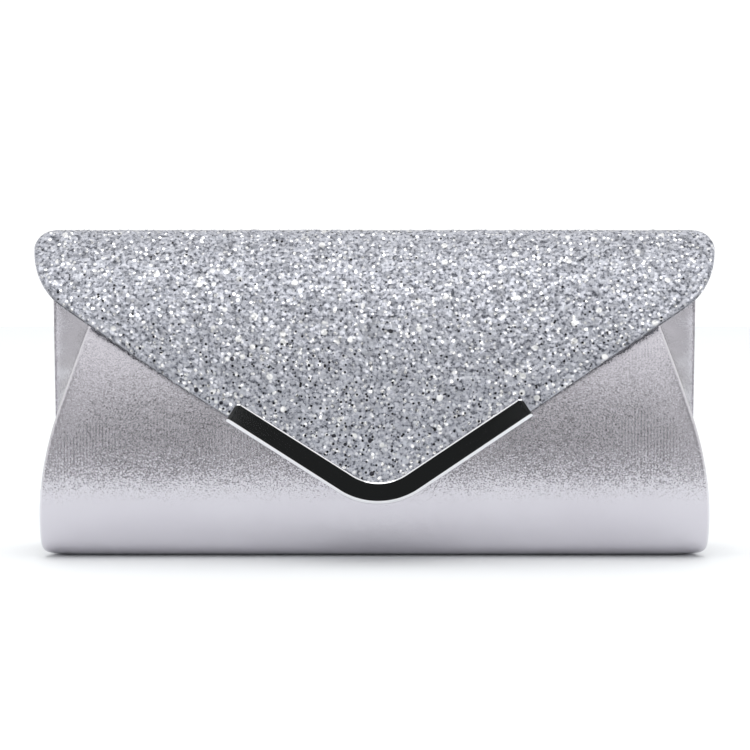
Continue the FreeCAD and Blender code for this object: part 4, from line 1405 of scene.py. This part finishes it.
def chrome_trim():
    """A bright channel bent from strip: broad face, wide lower bevel, wall and rear flange."""
    inner_point = TRIM_POINT + TRIM_WIDTH / cos(TRIM_SLOPE)
    outer = rounded_v(TRIM_POINT, TRIM_OUTER_ROUND, TRIM_SPAN)
    inner = rounded_v(inner_point, TRIM_INNER_ROUND, TRIM_SPAN - TRIM_WIDTH * sin(TRIM_SLOPE))
    arm = np.array([cos(TRIM_SLOPE), sin(TRIM_SLOPE)])
    quarter = np.sin(np.linspace(0, math.pi / 2, 9)[1:])
    end_gaps = np.concatenate([[TRIM_CORNER], TRIM_CORNER * (1 - quarter)])
    outer = np.concatenate([outer[:-1], [outer[-1] - arm * gap for gap in end_gaps]])
    inner = np.concatenate([inner[:-1], [inner[-1] - arm * gap for gap in end_gaps]])
    reach = TRIM_CORNER - end_gaps
    short = np.zeros(len(outer))
    short[-len(end_gaps):] = TRIM_CORNER - np.sqrt(np.clip(TRIM_CORNER**2 - reach**2, 0, None))

    lean_normal = np.array([-cos(TIP_LEAN), sin(TIP_LEAN)])
    lean_up = np.array([tan(TIP_LEAN), 1.0]) * cos(TIP_LEAN)
    root = np.array([flat_start[0] - (FLAT_HEIGHT - TRIM_POINT) * tan(TIP_LEAN), TRIM_POINT])

    def station(side, k):
        """One section across the trim, on the left (-1) or right (1) arm."""
        ring = []
        for across, depth in TRIM_SECTION:
            share = across / TRIM_WIDTH * (1 - short[k] / TRIM_WIDTH)
            x, z = outer[k] + (inner[k] - outer[k]) * share
            y, z = root + (z - TRIM_POINT) * lean_up - lean_normal * depth
            ring.append((side * x, y, z))
        return ring

    left = [station(-1, k) for k in range(len(outer) - 1, -1, -1)]
    right = [station(1, k) for k in range(1, len(outer))]
    points = np.concatenate(left + right)
    count = len(left) + len(right)
    size = len(TRIM_SECTION)
    piece = new_object("trim_channel", settle(points), ring_faces(count, size) + end_faces(count, size))
    piece.data.set_sharp_from_angle(angle=math.radians(18))
    dress(piece, CHROME)
    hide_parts("flap_trim")
    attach(piece, "flap")


front_skin()
back_skin()
for side, side_name in ((-1, "left"), (1, "right")):
    gusset(side, side_name)
    ring_tab(side_name)
    d_ring(side_name)
glitter_flap()
chrome_trim()
flap_lining()
front_board()
front_lining()
back_lining()
back_facing()
slip_pocket()
pocket_binding()
pocket_stitches()
snap()

slot_materials = {
    "metallic_leather": LEATHER,
    "glitter_fabric": GLITTER,
    "satin_lining": LINING,
    "stiffener_board": BOARD,
    "chrome_trim": CHROME,
    "nickel_snap": NICKEL,
    "nickel_ring": NICKEL,
    "steel_screw": STEEL,
    "magnet": MAGNET,
}
for entry in frame["record"]["subparts"]:
    node = frame["nodes"][entry["node"]]
    node.data.materials.clear()
    node.data.materials.append(slot_materials[entry["material_slot"]])


# ------------------------------------------------------------------ floor, light and camera

# The camera's side of the room, beyond the table's front edge, is dark. It fades out between these
# angles, in degrees; its top comes down by a slope towards its sides.
TABLE_HALF = 6.0
TABLE_EDGE = -0.18
TABLE_BACK = 1.2
DARK_SIDES = (21, 11)
DARK_TOP = (30.5, 26)
DARK_TOP_SLOPE = 3.35
DARK_BOTTOM = (-50, -40)
DARK = (0.015, 0.016, 0.016, 1)
# The sides of the room are dimmer than the rest.
DIM_NEAR = (18, 26)
DIM_FAR = (80, 62)
DIM_TOP = (38, 24)
DIM = (0.42, 0.42, 0.42, 1)
HORIZON = 0.8
ZENITH = 1.05
CAMERA_DISTANCE = 0.70
CAMERA_ELEVATION = 5.7
FRAME_WIDTH = 0.2887
CAMERA_TARGET = (0.0002, 0.008, 0.0680)
SENSOR_WIDTH = 36.0


def fade(tree, angle, none, full):
    """Smooth share from 0 at one angle to 1 at another, in degrees."""
    low, high = sorted((math.radians(none), math.radians(full)))
    return remap(tree, angle, low, high, float(none > full), float(none <= full), "SMOOTHSTEP")


def table():
    corners = [(-TABLE_HALF, TABLE_EDGE, 0), (TABLE_HALF, TABLE_EDGE, 0)]
    corners += [(TABLE_HALF, TABLE_BACK, 0), (-TABLE_HALF, TABLE_BACK, 0)]
    floor = new_object("floor", corners, [(0, 1, 2, 3)], smooth=False)
    floor.location.z = cad_low.z - 0.1 * MM
    floor.data.materials.append(white_floor())


def room():
    """A white room, dark where its reflections make the fabric's band and the trim's black face."""
    world = bpy.data.worlds.new("studio")
    bpy.context.scene.world = world
    world.use_nodes = True
    tree = world.node_tree
    tree.nodes.clear()
    direction = add(tree, "TexCoord").outputs["Generated"]
    parts = add(tree, "SeparateXYZ", {"Vector": direction}).outputs
    towards = calc(tree, "MULTIPLY", parts[1], -1.0)
    turned = calc(tree, "ABSOLUTE", calc(tree, "ARCTAN2", parts[0], towards))
    raised = calc(tree, "ARCSINE", parts[2])
    above = fade(tree, calc(tree, "MULTIPLY_ADD", turned, DARK_TOP_SLOPE, raised), *DARK_TOP)
    upright = calc(tree, "MULTIPLY", above, fade(tree, raised, *DARK_BOTTOM))
    dark = calc(tree, "MULTIPLY", fade(tree, turned, *DARK_SIDES), upright)
    beside = calc(tree, "MULTIPLY", fade(tree, turned, *DIM_NEAR), fade(tree, turned, *DIM_FAR))
    dim = calc(tree, "MULTIPLY", beside, fade(tree, raised, *DIM_TOP))
    seen = add(tree, "LightPath").outputs["Is Camera Ray"]
    colour = ramp(tree, fade(tree, raised, 0, 35), [(0.0, HORIZON), (1.0, ZENITH)])
    colour = mix_colour(tree, dim, colour, DIM)
    colour = mix_colour(tree, dark, colour, DARK)
    colour = mix_colour(tree, seen, colour, (1.1, 1.1, 1.1, 1))
    background = add(tree, "Background", {"Color": colour, "Strength": 1.0})
    add(tree, "OutputWorld", {"Surface": background.outputs[0]})


def area_light(name, place, target, size, power):
    light = bpy.data.lights.new(name, "AREA")
    light.shape = "RECTANGLE"
    light.size, light.size_y = size
    light.energy = power
    lamp = bpy.data.objects.new(name, light)
    lamp.location = place
    lamp.rotation_euler = (Vector(target) - Vector(place)).to_track_quat("-Z", "Y").to_euler()
    bpy.context.scene.collection.objects.link(lamp)


def camera():
    data = bpy.data.cameras.new("camera")
    data.sensor_width = SENSOR_WIDTH
    data.lens = SENSOR_WIDTH * CAMERA_DISTANCE / FRAME_WIDTH
    lens = bpy.data.objects.new("camera", data)
    away = Vector((0, -cos(CAMERA_ELEVATION), sin(CAMERA_ELEVATION)))
    lens.location = Vector(CAMERA_TARGET) + away * CAMERA_DISTANCE
    lens.rotation_euler = (-away).to_track_quat("-Z", "Y").to_euler()
    bpy.context.scene.collection.objects.link(lens)
    bpy.context.scene.camera = lens


table()
room()
area_light("top", (0, -0.1, 1.2), (0, 0, 0.06), (1.2, 1.0), 6.0)
camera()
bpy.context.scene.view_settings.view_transform = "Standard"
